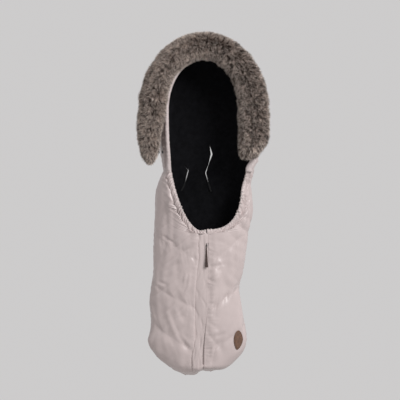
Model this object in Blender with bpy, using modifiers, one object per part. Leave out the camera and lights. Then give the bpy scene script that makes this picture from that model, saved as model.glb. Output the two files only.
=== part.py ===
"""Padded stroller footmuff, hanging by the two straps at its head end.

Metres, +Z up, the front towards -Y. The origin is the middle of the bar that the head straps go round.
The bag is a chain of sections: at each height a half ellipse for the front and a flatter curve for the
back, which meet at the side seam. Every layer is the same surface taken at its own depth.
"""

import math

import bmesh
import bpy
import numpy as np
from mathutils import Matrix, Vector

# Overall sizes
BAG_LENGTH = 0.600
BAG_WIDTH = 0.300
HOOD_LEG = 0.173
HOOD_HEIGHT = 0.190
HOOD_WIDTH = 0.270
HOOD_DEPTH = 0.130
HOOD_MIDDLE_X = 0.008
BACK_DEPTH = 0.050
HEAD_BACK_DEPTH = 0.040
MOUTH_FRONT_DEPTH = 0.070
FOOT_FRONT_DEPTH = 0.0555
NECK_FLARE = 0.024
BAR_TO_CROWN = 0.043
BAR_RADIUS = 0.029

# Layers from the outside in, and the gaps between pieces
SHELL = 0.0012
WADDING = 0.0090
LINING = 0.0032
PLY_GAP = 0.0003
QUILT_RISE = 0.0060
FOLD_GAP = 0.0008
OVERRUN = 0.010

# Foot end
FOOT_ROUND = 0.035
FOOT_TAPER = 0.120
FOOT_END_ROOM = 0.0010

# Opening
MOUTH_DROP = 0.177
NECK_BAND_LEFT = 0.0158
NECK_BAND_RIGHT = 0.01735
MOUTH_LEFT_POWER = 2.4
MOUTH_RIGHT_POWER = 2.4
CASING_RADIUS = 0.0056
CASING_BORE = 0.0026
BINDING_RADIUS = 0.0051
CASING_GAP = 0.0017
NECK_GAP = 0.0032
NECK_EXTRA_SHARE = 0.2321429
ELASTIC_RADIUS = 0.0018
RIM_ANGLE = math.radians(60)
EDGE_STEP_SHARE = 0.002
EDGE_END_SHARES = {-1: 1.2, 1: 1.0}
CASING_END_GAP = 0.0012
GATHER_SPACING = 0.018
GATHER_SHARE = 0.20

# Quilting seams, measured at the zip
QUILT_TOP_DROP = 0.096
QUILT_SPACINGS = (0.140, 0.117)
QUILT_SLOPE = 0.80
PLACKET_WIDTH = 0.0250
PLACKET_THICK = 0.0016
QUILT_START = 0.018

# Fold lines of the two front flaps
FOLD_TOP_DROP = 0.100
FOLD_END_SLOPE = 0.20
FOLD_LOW_LEFT = 0.0300
FOLD_LOW_RIGHT = 0.0158
FOLD_INSIDE_LEFT = 0.0032
FOLD_OUTSIDE_RIGHT = 0.0104

# Zip
ZIP_X = 0.0158
ZIP_SLOT = 0.0075
TOOTH_PITCH = 0.0064
TOOTH_THICK = 0.0030
TOOTH_REACH = 0.0010
TOOTH_ROOT = 0.0019
TOOTH_ROOT_HALF = 0.0011
TOOTH_TIP_HALF = 0.0016
TEETH_BEAD = 0.0010
TAPE_WIDTH = 0.0095
TAPE_THICK = 0.0010
SLIDER_WIDTH = 0.0110
SLIDER_LENGTH = 0.0150
SLIDER_PLATE = 0.0014
SLIDER_CLEAR = 0.0004
SLIDER_PARK = 0.0260
STOP_LENGTH = 0.0040
RING_WIRE = 0.0006
RING_WIDTH = 0.0036
RING_LENGTH = 0.0085
PULL_LENGTH = 0.0560
PULL_TOP_WIDTH = 0.0036
PULL_END_WIDTH = 0.0090
PULL_NECK = 0.0050
PULL_THICK = 0.0020
PULL_FOLD_SHARE = 0.45
BRIDGE_WIRE = 0.0009
BRIDGE_HEIGHT = 0.0026

# Fur trim and its snap fasteners
FUR_END_LEFT = 0.136
FUR_END_RIGHT = 0.118
FUR_SLANT = 0.35
FUR_SWING = 0.010
FUR_STRIP_THICK = 0.0012
FUR_STRIP_LIFT = 0.0042
SNAP_RADIUS = 0.0050
SNAP_BASE = 0.0008
SNAP_POST_RADIUS = 0.0019
SNAP_POST = 0.0020
SNAP_BORE = 0.0023
SNAP_SOCKET = 0.0018

# Back: harness slots, non-slip patch and head straps
SLOT_MIDDLE_X = -0.011
SLOT_SPACING = 0.066
SLOT_LENGTH = 0.136
SLOT_OPEN = 0.0080
SLOT_EDGE = 0.0014
SLOT_RISE = 0.076
CROTCH_SLOT_LENGTH = 0.060
CROTCH_SLOT_DROP = 0.310
PATCH_WIDTH = 0.120
PATCH_HEIGHT = 0.200
PATCH_THICK = 0.0020
PATCH_DROP = 0.240
PATCH_MIDDLE_X = -0.008
STRAP_WIDTH = 0.025
STRAP_THICK = 0.0016
STRAP_SLACK = 0.0008
STRAP_SPACING = 0.100
STRAP_TAIL = 0.095
CLOSURE_THICK = 0.0018
CLOSURE_LENGTH = 0.042
STRAP_CLOSE_ANGLE = math.radians(62)

# Leather label
LABEL_WIDTH = 0.040
LABEL_HEIGHT = 0.055
LABEL_THICK = 0.0016
LABEL_RISE_SHARE = 0.751658
LABEL_INSET = 0.0249152
LABEL_SINK_SHARE = 0.30

# Heights
Z_CROWN = BAR_TO_CROWN
Z_DOME = Z_CROWN - HOOD_HEIGHT
Z_NECK = Z_DOME - HOOD_LEG
Z_FOOT = Z_NECK - BAG_LENGTH
Z_MOUTH = Z_NECK - MOUTH_DROP
Z_FOLD_TOP = Z_NECK - FOLD_TOP_DROP
Z_ZIP_END = Z_FOOT + FOOT_ROUND
Z_QUILT_TOP = Z_MOUTH - QUILT_TOP_DROP

FULL_DEPTH = SHELL + WADDING + LINING + 2 * PLY_GAP
MID_DEPTH = FULL_DEPTH / 2
FOOT_END_DEPTH = FULL_DEPTH + FOOT_END_ROOM
CASING_ROOM = 2 * CASING_RADIUS + CASING_GAP
ZIP_REACH = TOOTH_ROOT + TEETH_BEAD + PLY_GAP + TAPE_WIDTH
STRAP_STAND = STRAP_SLACK + STRAP_THICK + PLY_GAP
SEAM_Y = -(BAR_RADIUS + STRAP_STAND + HEAD_BACK_DEPTH)
PLACKET_LEFT_X = ZIP_X - PLACKET_WIDTH

# From the neck down to the foot: both half widths as shares of half the bag's width, and the back's depth as
# a share of what it has over the foot's end. The left side hangs lower and fuller than the right, which is
# drawn in at knee height.
BAG_SHARES = (
    (0.000, 0.740, 0.933, 0.80),
    (0.060, 0.827, 0.947, 0.90),
    (0.130, 0.890, 0.990, 1.0),
    (0.200, 0.903, 1.005, 1.0),
    (0.300, 0.923, 0.933, 1.0),
    (0.400, 0.937, 0.883, 1.0),
    (0.500, 0.943, 0.815, 1.0),
    (0.570, 0.983, 0.757, 1.0),
    (0.650, 1.007, 0.793, 1.0),
    (0.720, 0.990, 0.840, 1.0),
    (0.780, 0.997, 0.885, 0.9714286),
    (0.830, 1.047, 0.897, 0.9142857),
    (0.880, 0.957, 0.837, 0.8142857),
    (0.920, 0.810, 0.700, 0.6857143),
    (0.960, 0.600, 0.507, 0.4571429),
    (0.985, 0.440, 0.307, 0.2142857),
    (1.000, 0.313, 0.200, 0.00),
)
NECK_HALVES = [share * BAG_WIDTH / 2 for share in BAG_SHARES[0][1:3]]
MOUTH_LEFT = NECK_HALVES[0] - NECK_BAND_LEFT + ZIP_X
MOUTH_RIGHT = NECK_HALVES[1] - NECK_BAND_RIGHT - ZIP_X
FOLD_HIGH_LEFT = MOUTH_LEFT - FOLD_INSIDE_LEFT
FOLD_HIGH_RIGHT = MOUTH_RIGHT + FOLD_OUTSIDE_RIGHT
BACK_DOME_ANGLES = tuple(math.radians(angle) for angle in (78, 64, 50, 35, 18, 0))
BACK_DOME_SHARES = (0.38, 0.70, 0.90, 1.0, 1.0, 1.0)
BACK_FLAT_ANGLE = math.radians(20)
BACK_COLUMNS = tuple(math.radians(angle) for angle in (-90, -74, -52, -20, 20, 52, 74, 90))
BACK_POWER = 3.2
BACK_FLAT = math.cos(BACK_FLAT_ANGLE) ** (2 / BACK_POWER)
FLAP_COLUMN_SHARES = (0.0, 0.18, 0.36, 0.56, 0.78, 1.0)
SIDE_COLUMN_SHARES = (0.0, 0.25, 0.5, 0.75, 1.0)
CELL_ROW_SHARES = (0.22, 0.5, 0.78, 1.0)
LAST_CELL_ROW_SHARES = (0.35, 0.7, 1.0)
FOOT_ROW_SHARES = (0.0, 0.35, 0.62, 0.85, 1.0)
NECK_ROW_SHARES = (0.0, 0.5)
MOUTH_ROWS = 5
QUILT_POWER = 0.7

# Half outline of the slider from its nose down, as shares of its half width and half length
SLIDER_SHARES = ((0.55, 1.0), (0.92, 0.80), (1.0, 0.40), (0.86, -0.30), (0.80, -0.85), (0.66, -1.0))
# The channel: straight below, opening to both sides of the wedge above
CHANNEL_SHARES = ((0.58, -1.4), (0.58, -0.1), (0.93, 0.75), (0.93, 1.5))
WEDGE_SHARES = ((0.0, -0.12), (0.34, 0.45), (0.30, 1.2))
BRIDGE_SHARES = (0.62, -0.55)

# The trim's section, as distance out from the hood's middle and distance before the seam, in shares of half
# the hood's width
FUR_SECTION_SHARES = (
    (0.800, 0.625),
    (0.830, 0.760),
    (1.000, 0.850),
    (1.240, 0.790),
    (1.425, 0.600),
    (1.410, 0.400),
    (1.225, 0.290),
    (1.006, 0.306),
    (0.934, 0.468),
    (0.925, 0.600),
)
# The trim's size from each end up its leg, and how its arch leaves the hood's round further out
FUR_LEFT_SHARES = (0.22, 0.52, 0.72, 0.86, 0.94)
FUR_RIGHT_SHARES = (0.55, 0.88, 1.0, 1.0, 1.0)
ARCH_KNEE_SHARE = 1.03
ARCH_SPREAD_SHARE = 0.60

# Rows, sides and steps of the meshes
HOOD_LEG_SHARES = (0.0, 0.2, 0.31, 0.6, 1.0)
HOOD_DOME_ROWS = 18
HOOD_COLUMN_SHARES = (0.0, 0.4, 0.78, 1.0)
BACK_LEG_ROWS = 3
FUR_LEG_ROWS = 5
FUR_DOME_ROWS = 18
STRIP_SPREADS = tuple(math.radians(angle) for angle in (7, 0, -5))
STRIP_FIRST, STRIP_LAST = 1, 24
SNAP_STATIONS = (2, 7, 13, 19, 23)
SNAP_SIDES = 12
RINGS_PER_GATHER = 2
CASING_SIDES = 6
ELASTIC_SIDES = 4
KNUCKLE_SIDES = 12
LOOP_STEPS = 26
LABEL_STEPS = 7
HALVINGS = 40

SATIN = ("satin", (0.62, 0.54, 0.52), 0.42, 0.0)
WOOL = ("wadding", (0.90, 0.90, 0.88), 0.95, 0.0)
FLEECE = ("fleece", (0.012, 0.012, 0.015), 0.95, 0.0)
FUR = ("fur", (0.21, 0.16, 0.14), 0.90, 0.0)
SUEDE = ("trim_backing", (0.25, 0.20, 0.18), 0.90, 0.0)
TAPE = ("zip_tape", (0.40, 0.34, 0.33), 0.85, 0.0)
TEETH = ("zip_teeth", (0.30, 0.27, 0.27), 0.45, 0.0)
DARK_METAL = ("dark_metal", (0.08, 0.07, 0.07), 0.35, 1.0)
LEATHER = ("pull_leather", (0.045, 0.022, 0.018), 0.55, 0.0)
LABEL_LEATHER = ("label_leather", (0.11, 0.055, 0.032), 0.60, 0.0)
GRIP = ("grip_fabric", (0.05, 0.05, 0.055), 0.90, 0.0)
WEBBING = ("webbing", (0.03, 0.03, 0.033), 0.85, 0.0)
ELASTIC = ("elastic", (0.75, 0.73, 0.70), 0.80, 0.0)


# Scene, materials and meshes


def clear_scene():
    for obj in list(bpy.data.objects):
        bpy.data.objects.remove(obj, do_unlink=True)


def collection(name, hidden=False):
    made = bpy.data.collections.new(name)
    bpy.context.scene.collection.children.link(made)
    made.hide_render = hidden
    return made


def material(finish):
    name, colour, roughness, metallic = finish
    found = bpy.data.materials.get(name)
    if found:
        return found
    made = bpy.data.materials.new(name)
    made.use_nodes = True
    shader = made.node_tree.nodes["Principled BSDF"]
    shader.inputs["Base Color"].default_value = (*colour, 1.0)
    shader.inputs["Roughness"].default_value = roughness
    shader.inputs["Metallic"].default_value = metallic
    made.diffuse_color = (*colour, 1.0)
    return made


def add_mesh(name, points, faces, finish, smooth=True):
    """One closed mesh, its faces turned outwards."""
    mesh = bpy.data.meshes.new(name)
    mesh.from_pydata([tuple(map(float, point)) for point in points], [], faces)
    shape = bmesh.new()
    shape.from_mesh(mesh)
    bmesh.ops.recalc_face_normals(shape, faces=shape.faces)
    shape.to_mesh(mesh)
    shape.free()
    obj = bpy.data.objects.new(name, mesh)
    FOOTMUFF.objects.link(obj)
    mesh.materials.append(material(finish))
    if smooth:
        mesh.shade_smooth()
        mesh.set_sharp_from_angle(angle=math.radians(40))
    return obj


def slab(name, outer, inner, finish):
    """A wall between two grids of points with the same rows and columns."""
    rows, columns = outer.shape[:2]
    count = rows * columns
    near = np.arange(count).reshape(rows, columns)
    far = near + count
    faces = []
    for row in range(rows - 1):
        for column in range(columns - 1):
            a, b = near[row, column], near[row, column + 1]
            c, d = near[row + 1, column + 1], near[row + 1, column]
            faces += [(a, b, c), (a, c, d)]
            a, b, c, d = a + count, b + count, c + count, d + count
            faces += [(a, c, b), (a, d, c)]
    rim = [*near[0, :-1], *near[:-1, -1], *near[-1, :0:-1], *near[:0:-1, 0]]
    for start, end in zip(rim, rim[1:] + rim[:1]):
        faces += [(start, end, end + count), (start, end + count, start + count)]
    points = np.concatenate([outer.reshape(-1, 3), inner.reshape(-1, 3)])
    return add_mesh(name, points, [tuple(map(int, face)) for face in faces], finish)


def rings_mesh(name, rings, finish, bore=None):
    """A closed tube through rings of points. With a bore, a second set of rings is its inner wall."""
    stations, sides = rings.shape[:2]
    faces = []

    def skin(first):
        for station in range(stations - 1):
            for side in range(sides):
                a = first + station * sides + side
                b = first + station * sides + (side + 1) % sides
                faces.append((a, b, b + sides, a + sides))

    skin(0)
    last = (stations - 1) * sides
    if bore is None:
        faces.append(tuple(range(sides)))
        faces.append(tuple(range(last, last + sides)))
        return add_mesh(name, rings.reshape(-1, 3), faces, finish)
    inside = stations * sides
    skin(inside)
    for first in (0, last):
        for side in range(sides):
            a, b = first + side, first + (side + 1) % sides
            faces.append((a, b, b + inside, a + inside))
    points = np.concatenate([rings.reshape(-1, 3), bore.reshape(-1, 3)])
    return add_mesh(name, points, faces, finish)


def round_rings(path, radii, sides, turn=0.0):
    """Rings of a round tube along a path. The first direction is kept as level as the path allows."""
    along = np.gradient(path, axis=0)
    along /= np.linalg.norm(along, axis=1, keepdims=True)
    flat = np.cross(along, np.array([0.0, 1.0, 0.0]))
    flat /= np.linalg.norm(flat, axis=1, keepdims=True)
    deep = np.cross(flat, along)
    angles = turn + np.arange(sides) * 2 * math.pi / sides
    radii = np.broadcast_to(np.asarray(radii, float), (len(path),))
    ring = np.cos(angles)[None, :, None] * flat[:, None] + np.sin(angles)[None, :, None] * deep[:, None]
    return path[:, None] + radii[:, None, None] * ring


def outline_curve(name, outlines, half_depth, finish, owner=None):
    """Flat outlines in local XY, filled and extruded both ways along local Z."""
    curve = bpy.data.curves.new(name, "CURVE")
    curve.dimensions = "2D"
    curve.fill_mode = "BOTH"
    curve.extrude = half_depth
    for points in outlines:
        spline = curve.splines.new("POLY")
        spline.points.add(len(points) - 1)
        for slot, (x, y) in zip(spline.points, points):
            slot.co = (x, y, 0.0, 1.0)
        spline.use_cyclic_u = True
    curve.materials.append(material(finish))
    obj = bpy.data.objects.new(name, curve)
    (owner or FOOTMUFF).objects.link(obj)
    return obj


def as_mesh(obj):
    """The curve made a mesh with welded caps, in the curve's place."""
    bpy.context.view_layer.update()
    graph = bpy.context.evaluated_depsgraph_get()
    mesh = bpy.data.meshes.new_from_object(obj.evaluated_get(graph))
    shape = bmesh.new()
    shape.from_mesh(mesh)
    bmesh.ops.remove_doubles(shape, verts=shape.verts, dist=PLY_GAP / 100)
    bmesh.ops.recalc_face_normals(shape, faces=shape.faces)
    shape.to_mesh(mesh)
    shape.free()
    name, owner, place = obj.name, obj.users_collection[0], obj.matrix_world.copy()
    bpy.data.objects.remove(obj, do_unlink=True)
    made = bpy.data.objects.new(name, mesh)
    made.matrix_world = place
    owner.objects.link(made)
    return made


def as_cutter(obj):
    obj.hide_render = True
    obj.display_type = "WIRE"
    return obj


def combine(obj, other, operation):
    """A Boolean of two meshes, kept live."""
    step = obj.modifiers.new(other.name, "BOOLEAN")
    step.operation = operation
    step.solver = "EXACT"
    step.object = other
    as_cutter(other)


def wire(name, points, radius, finish, closed=False, owner=None):
    curve = bpy.data.curves.new(name, "CURVE")
    curve.dimensions = "3D"
    curve.bevel_depth = radius
    curve.bevel_resolution = 2
    curve.use_fill_caps = not closed
    spline = curve.splines.new("POLY")
    spline.points.add(len(points) - 1)
    for slot, point in zip(spline.points, points):
        slot.co = (*point, 1.0)
    spline.use_cyclic_u = closed
    curve.materials.append(material(finish))
    obj = bpy.data.objects.new(name, curve)
    (owner or FOOTMUFF).objects.link(obj)
    return obj


def box(name, low, high, finish, place=None):
    """A box between two corners, its faces planned along the axes of the place it is given."""
    mesh = bpy.data.meshes.new(name)
    shape = bmesh.new()
    bmesh.ops.create_cube(shape, size=1.0)
    size = Vector(high) - Vector(low)
    middle = (Vector(high) + Vector(low)) / 2
    bmesh.ops.scale(shape, verts=shape.verts, vec=size)
    bmesh.ops.translate(shape, verts=shape.verts, vec=middle)
    shape.to_mesh(mesh)
    shape.free()
    mesh.materials.append(material(finish))
    obj = bpy.data.objects.new(name, mesh)
    FOOTMUFF.objects.link(obj)
    if place:
        obj.matrix_world = place
    return obj


# The bag's surface


def smooth(share):
    share = np.clip(share, 0.0, 1.0)
    return share * share * (3 - 2 * share)


def blend(first, second, share):
    return first + (second - first) * share


def read_curve(knots, values, at):
    """A smooth line through the knots, its slope at each taken from the two beside it."""
    knots, values = np.asarray(knots), np.asarray(values)
    slopes = np.gradient(values, knots)
    place = np.clip(np.searchsorted(knots, at) - 1, 0, len(knots) - 2)
    width = knots[place + 1] - knots[place]
    t = np.clip((at - knots[place]) / width, 0.0, 1.0)
    start = (1 + 2 * t) * (1 - t) ** 2 * values[place] + t * (1 - t) ** 2 * width * slopes[place]
    end = t * t * (3 - 2 * t) * values[place + 1] + t * t * (t - 1) * width * slopes[place + 1]
    return start + end


def bag_column(column, z):
    down = (Z_NECK - np.asarray(z, float)) / BAG_LENGTH
    table = np.array(BAG_SHARES)
    return read_curve(table[:, 0], table[:, column], np.clip(down, 0.0, 1.0))


def sides(z):
    """The side seam's X at a height, left and right. The hood's legs run down to the bag's neck."""
    z = np.asarray(z, float)
    leg = np.clip((Z_DOME - z) / HOOD_LEG, 0.0, 1.0) ** 2
    round_share = np.sqrt(np.clip(1 - np.clip((z - Z_DOME) / HOOD_HEIGHT, 0.0, 1.0) ** 2, 0.0, 1.0))
    found = []
    for sign, column in ((-1, 1), (1, 2)):
        bag = sign * bag_column(column, z) * BAG_WIDTH / 2
        hood = HOOD_MIDDLE_X + sign * HOOD_WIDTH / 2 * round_share
        found.append(np.where(z > Z_NECK, blend(hood, bag, leg), bag))
    return found


def middle_and_half(z):
    left, right = sides(z)
    return (left + right) / 2, (right - left) / 2


def zip_line_depth(z):
    """How far the front stands before the seam plane along the zip: straight, but rounded at the foot."""
    z = np.asarray(z, float)
    straight = blend(FOOT_FRONT_DEPTH, MOUTH_FRONT_DEPTH, (z - Z_ZIP_END) / (Z_MOUTH - Z_ZIP_END))
    flare = NECK_FLARE * smooth((z - Z_MOUTH) / MOUTH_DROP)
    round_off = np.clip((Z_ZIP_END - z) / FOOT_ROUND, 0.0, 1.0) ** 2
    return (straight + flare) * (1 - round_off) + FOOT_END_DEPTH * round_off


def angle_at(x, z):
    middle, half = middle_and_half(z)
    return np.arcsin(np.clip((x - middle) / half, -1.0, 1.0))


def front_depth(z):
    return zip_line_depth(z) / np.cos(angle_at(ZIP_X, z))


def lift(z, depth):
    """Inner layers end short of the foot and of the crown by their own depth."""
    foot = smooth((Z_FOOT + FOOT_TAPER - z) / FOOT_TAPER)
    crown = smooth((z - Z_DOME) / HOOD_HEIGHT)
    return depth * (foot - crown)


def front_points(angle, z, depth):
    """Points of the front at an angle round from its middle, a height and a depth under the crests.

    The ellipse is cut flat as far forward as the zip, so that the placket lies on a plane. Beside the zip
    every layer ends at the same distance from the teeth, down to where the zip ends.
    """
    angle, z, depth = np.broadcast_arrays(np.asarray(angle, float), z, depth)
    middle, half = middle_and_half(z)
    x = middle + half * np.sin(angle)
    beside = 1 - smooth((np.abs(x - ZIP_X) - ZIP_SLOT) / ZIP_REACH)
    x = x - depth * np.sin(angle) * (1 - beside * smooth((z - Z_FOOT) / FOOT_ROUND))
    flat = np.minimum(np.cos(angle) / np.cos(angle_at(ZIP_X, z)), 1.0)
    y = SEAM_Y - PLY_GAP / 2 - (zip_line_depth(z) - depth) * flat
    return np.stack([x, y, z + lift(z, depth)], axis=-1)


def back_depth(z):
    z = np.asarray(z, float)
    bag = blend(FOOT_END_DEPTH, BACK_DEPTH, bag_column(3, z))
    leg = np.clip((Z_DOME - z) / HOOD_LEG, 0.0, 1.0)
    heights = Z_DOME + HOOD_HEIGHT * np.sin(np.array(BACK_DOME_ANGLES))
    dome = np.interp(z, heights[::-1], np.array(BACK_DOME_SHARES)[::-1]) * HEAD_BACK_DEPTH
    head = np.where(z > Z_DOME, dome, blend(HEAD_BACK_DEPTH, bag, leg))
    return np.where(z > Z_NECK, head, bag)


def back_points(angle, z, depth):
    """Points of the back, the same way. Its middle is flat, as the bag lies against a seat."""
    angle, z, depth = np.broadcast_arrays(np.asarray(angle, float), z, depth)
    middle, half = middle_and_half(z)
    across = np.sign(angle) * np.abs(np.sin(angle)) ** (2 / BACK_POWER)
    behind = np.abs(np.cos(angle)).clip(0.0) ** (2 / BACK_POWER) / BACK_FLAT
    x = middle + (half - depth) * across
    y = SEAM_Y + PLY_GAP / 2 + (back_depth(z) - depth) * behind
    return np.stack([x, y, z + lift(z, depth)], axis=-1)


LAYER_NAMES = ("outer", "wadding", "lining")
LAYER_FINISHES = (SATIN, WOOL, FLEECE)


def layer_depths(puff):
    """Outer and inner depth of each layer. The quilting draws the first three surfaces in."""
    valley = QUILT_RISE * (1 - puff)
    wadding_in = SHELL + PLY_GAP + WADDING
    return (
        (valley, valley + SHELL),
        (valley + SHELL + PLY_GAP, wadding_in + 0 * valley),
        (wadding_in + PLY_GAP + 0 * valley, FULL_DEPTH + 0 * valley),
    )


def layered(name, surface, puff, cutters=()):
    """The three layers of one panel. Surface gives the panel's points at a depth."""
    for layer, finish, (outer, inner) in zip(LAYER_NAMES, LAYER_FINISHES, layer_depths(puff)):
        obj = slab(f"{name}_{layer}", surface(outer), surface(inner), finish)
        for cutter in cutters:
            combine(obj, cutter, "DIFFERENCE")


# The opening's edge and the fold lines, seen from the front


def mouth_line(sign, share):
    """X and Z of the opening's edge at a share of its way from the zip to the neck."""
    share = np.asarray(share, float)
    if sign < 0:
        across, up = MOUTH_LEFT * share, share**MOUTH_LEFT_POWER
    else:
        turn = share * math.pi / 2
        across = MOUTH_RIGHT * np.sin(turn) ** (2 / MOUTH_RIGHT_POWER)
        up = 1 - np.cos(turn) ** (2 / MOUTH_RIGHT_POWER)
    return ZIP_X + sign * across, Z_MOUTH + MOUTH_DROP * up


def mouth_edge(sign, share, offset):
    """The same edge moved outwards over the cloth, which shows shorter from the front where it is steep."""
    share = np.asarray(share, float)
    x, z = mouth_line(sign, share)
    ahead = mouth_line(sign, np.minimum(share + EDGE_STEP_SHARE, EDGE_END_SHARES[sign]))
    behind = mouth_line(sign, np.maximum(share - EDGE_STEP_SHARE, 0.0))
    along_x, along_z = ahead[0] - behind[0], ahead[1] - behind[1]
    length = np.hypot(along_x, along_z)
    _, half = middle_and_half(z)
    slope = front_depth(z) / half * np.tan(angle_at(x + sign * offset / 2, z))
    across = offset / np.hypot(1.0, slope)
    return x + sign * across * along_z / length, z - offset * np.abs(along_x) / length


def mouth_share(sign, axis, value, offset):
    """The share at which the moved edge has a given X, axis 0, or Z, axis 1."""
    low, high = 0.0, EDGE_END_SHARES[sign]
    rising = axis == 1 or sign > 0
    for _ in range(HALVINGS):
        middle = (low + high) / 2
        if (float(mouth_edge(sign, middle, offset)[axis]) < value) == rising:
            low = middle
        else:
            high = middle
    return (low + high) / 2


def mouth_share_at_height(sign, z, offset):
    return mouth_share(sign, 1, z, offset)


def mouth_share_at_width(sign, across, offset):
    return mouth_share(sign, 0, ZIP_X + sign * across, offset)


def fold_x(sign, z):
    share = (z - Z_ZIP_END) / (Z_FOLD_TOP - Z_ZIP_END)
    low, high = (FOLD_LOW_LEFT, FOLD_HIGH_LEFT) if sign < 0 else (FOLD_LOW_RIGHT, FOLD_HIGH_RIGHT)
    return ZIP_X + sign * blend(low, high, share)


def chevron(sign, z_seam, x):
    """Height of a quilting seam at X: level under the placket, then up towards the side."""
    start = PLACKET_LEFT_X if sign < 0 else ZIP_X
    return z_seam + QUILT_SLOPE * max(0.0, sign * (x - start))


def where_seam_meets(sign, z_seam, edge_x):
    """The height at which a quilting seam meets an edge whose X depends on height."""
    z = z_seam
    for _ in range(HALVINGS):
        z = chevron(sign, z_seam, float(edge_x(z)))
    return z


def side_x(sign):
    return lambda z: sides(z)[0 if sign < 0 else 1]


def quilt_seams(sign):
    """Each seam's height at the zip, at the fold line and at the side seam, and the flap's end."""
    levels = [Z_QUILT_TOP]
    for spacing in QUILT_SPACINGS:
        levels.append(levels[-1] - spacing)
    rows = []
    for level in levels:
        at_fold = where_seam_meets(sign, level, lambda z: fold_x(sign, z))
        rows.append((level, at_fold, where_seam_meets(sign, level, side_x(sign))))
    rise = FOLD_END_SLOPE * (FOLD_LOW_LEFT if sign < 0 else FOLD_LOW_RIGHT)
    rows.append((Z_ZIP_END, Z_ZIP_END + rise, Z_ZIP_END))
    return rows


def pillow(share):
    return math.sin(math.pi * min(max(share, 0.0), 1.0)) ** QUILT_POWER


def cell_rows(sign):
    """Rows down the quilted cells below the top seam: height at the zip, the fold and the side, and puff."""
    seams = quilt_seams(sign)
    rows = []
    for upper, lower, shares in zip(
        seams, seams[1:], (CELL_ROW_SHARES, CELL_ROW_SHARES, LAST_CELL_ROW_SHARES)
    ):
        last = lower is seams[-1]
        for share in shares:
            heights = [blend(high, low, share) for high, low in zip(upper, lower)]
            puff = pillow(share / 2) if last else pillow(share)
            rows.append((*heights, puff))
    return rows


def plain_near_zip(x):
    """The strip under the placket isn't quilted, and the cloth swells gradually away from it."""
    left = (PLACKET_LEFT_X - x) / QUILT_START
    right = (x - ZIP_X - ZIP_REACH) / QUILT_START
    return smooth(np.where(x < ZIP_X, left, right))


def surface_between(inner, outer, puffs, columns):
    """Angles, heights and puff of a panel whose rows run between two edges given as X and Z."""
    inner_angle = np.array([angle_at(x, z) for x, z in inner])
    outer_angle = np.array([angle_at(x, z) for x, z in outer])
    inner_z = np.array([z for _, z in inner])
    outer_z = np.array([z for _, z in outer])
    shares = np.array(columns)[None]
    angle = blend(inner_angle[:, None], outer_angle[:, None], shares)
    z = blend(inner_z[:, None], outer_z[:, None], shares)
    middle, half = middle_and_half(z)
    puff = np.array(puffs)[:, None] * plain_near_zip(middle + half * np.sin(angle))
    return angle, z, puff


def zip_edge_x(sign):
    return ZIP_X + sign * ZIP_SLOT


def flap_rows(sign):
    """Both edges of a flap, from its top row to the zip's end."""
    top = mouth_share_at_height(sign, Z_FOLD_TOP, CASING_ROOM)
    corner = mouth_share_at_width(sign, ZIP_SLOT, CASING_ROOM)
    seams = quilt_seams(sign)
    steps = [blend(top, corner, row / MOUTH_ROWS) for row in range(MOUTH_ROWS + 1)]
    inner = [mouth_edge(sign, step, CASING_ROOM) for step in steps]
    inner = [(float(x), float(z)) for x, z in inner]
    corner_z = inner[-1][1]
    inner += [(zip_edge_x(sign), blend(corner_z, seams[0][0], share)) for share in (0.5, 1.0)]
    count = len(inner) - 1
    fold = [blend(Z_FOLD_TOP, corner_z - FOLD_GAP * 3, row / MOUTH_ROWS) for row in range(MOUTH_ROWS + 1)]
    fold += [blend(fold[-1], seams[0][1], share) for share in (0.5, 1.0)]
    puffs = [pillow(row / count) for row in range(count + 1)]
    for at_zip, at_fold, _, puff in cell_rows(sign):
        inner.append((zip_edge_x(sign), at_zip))
        fold.append(at_fold)
        puffs.append(puff)
    outer = [(fold_x(sign, z) - sign * FOLD_GAP / 2, z) for z in fold]
    return inner, outer, puffs


def make_flap(sign, name):
    inner, outer, puffs = flap_rows(sign)
    angle, z, puff = surface_between(inner, outer, puffs, FLAP_COLUMN_SHARES)
    layered(name, lambda depth: front_points(angle, z, depth), puff)


def side_rows(sign):
    """The edge of a side panel, its heights along the side seam, and its puff, row by row."""
    _, outer, _ = flap_rows(sign)
    seams = quilt_seams(sign)
    fold = [z for _, z in outer]
    edge, seam, puffs_here = [], [], []
    above = len(NECK_ROW_SHARES)
    head_rows = fold.index(min(fold, key=lambda z: abs(z - seams[0][1])))
    for row, share in enumerate(NECK_ROW_SHARES):
        z = blend(Z_NECK - PLY_GAP / 2, Z_FOLD_TOP, share)
        room = CASING_ROOM + CASING_RADIUS * NECK_EXTRA_SHARE
        x, _ = mouth_edge(sign, mouth_share_at_height(sign, z, room), room)
        edge.append((float(x), z))
        seam.append(blend(Z_NECK - PLY_GAP / 2, seams[0][2], row / (above + head_rows)))
        puffs_here.append(pillow(row / (above + head_rows)))
    for row in range(head_rows + 1):
        edge.append((fold_x(sign, fold[row]) + sign * FOLD_GAP / 2, fold[row]))
        seam.append(blend(Z_NECK - PLY_GAP / 2, seams[0][2], (above + row) / (above + head_rows)))
        puffs_here.append(pillow((above + row) / (above + head_rows)))
    for _, at_fold, at_side, puff in cell_rows(sign):
        edge.append((fold_x(sign, at_fold) + sign * FOLD_GAP / 2, at_fold))
        seam.append(at_side)
        puffs_here.append(puff)
    edge[-1] = (edge[-1][0], edge[-1][1] - FOLD_GAP)
    for share in FOOT_ROW_SHARES:
        z = blend(Z_ZIP_END - FOLD_GAP * 4, Z_FOOT, share)
        edge.append((ZIP_X + sign * FOLD_GAP / 2, z))
        seam.append(z)
        puffs_here.append(pillow(blend(0.5, 1.0, share)))
    return edge, seam, puffs_here


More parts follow.
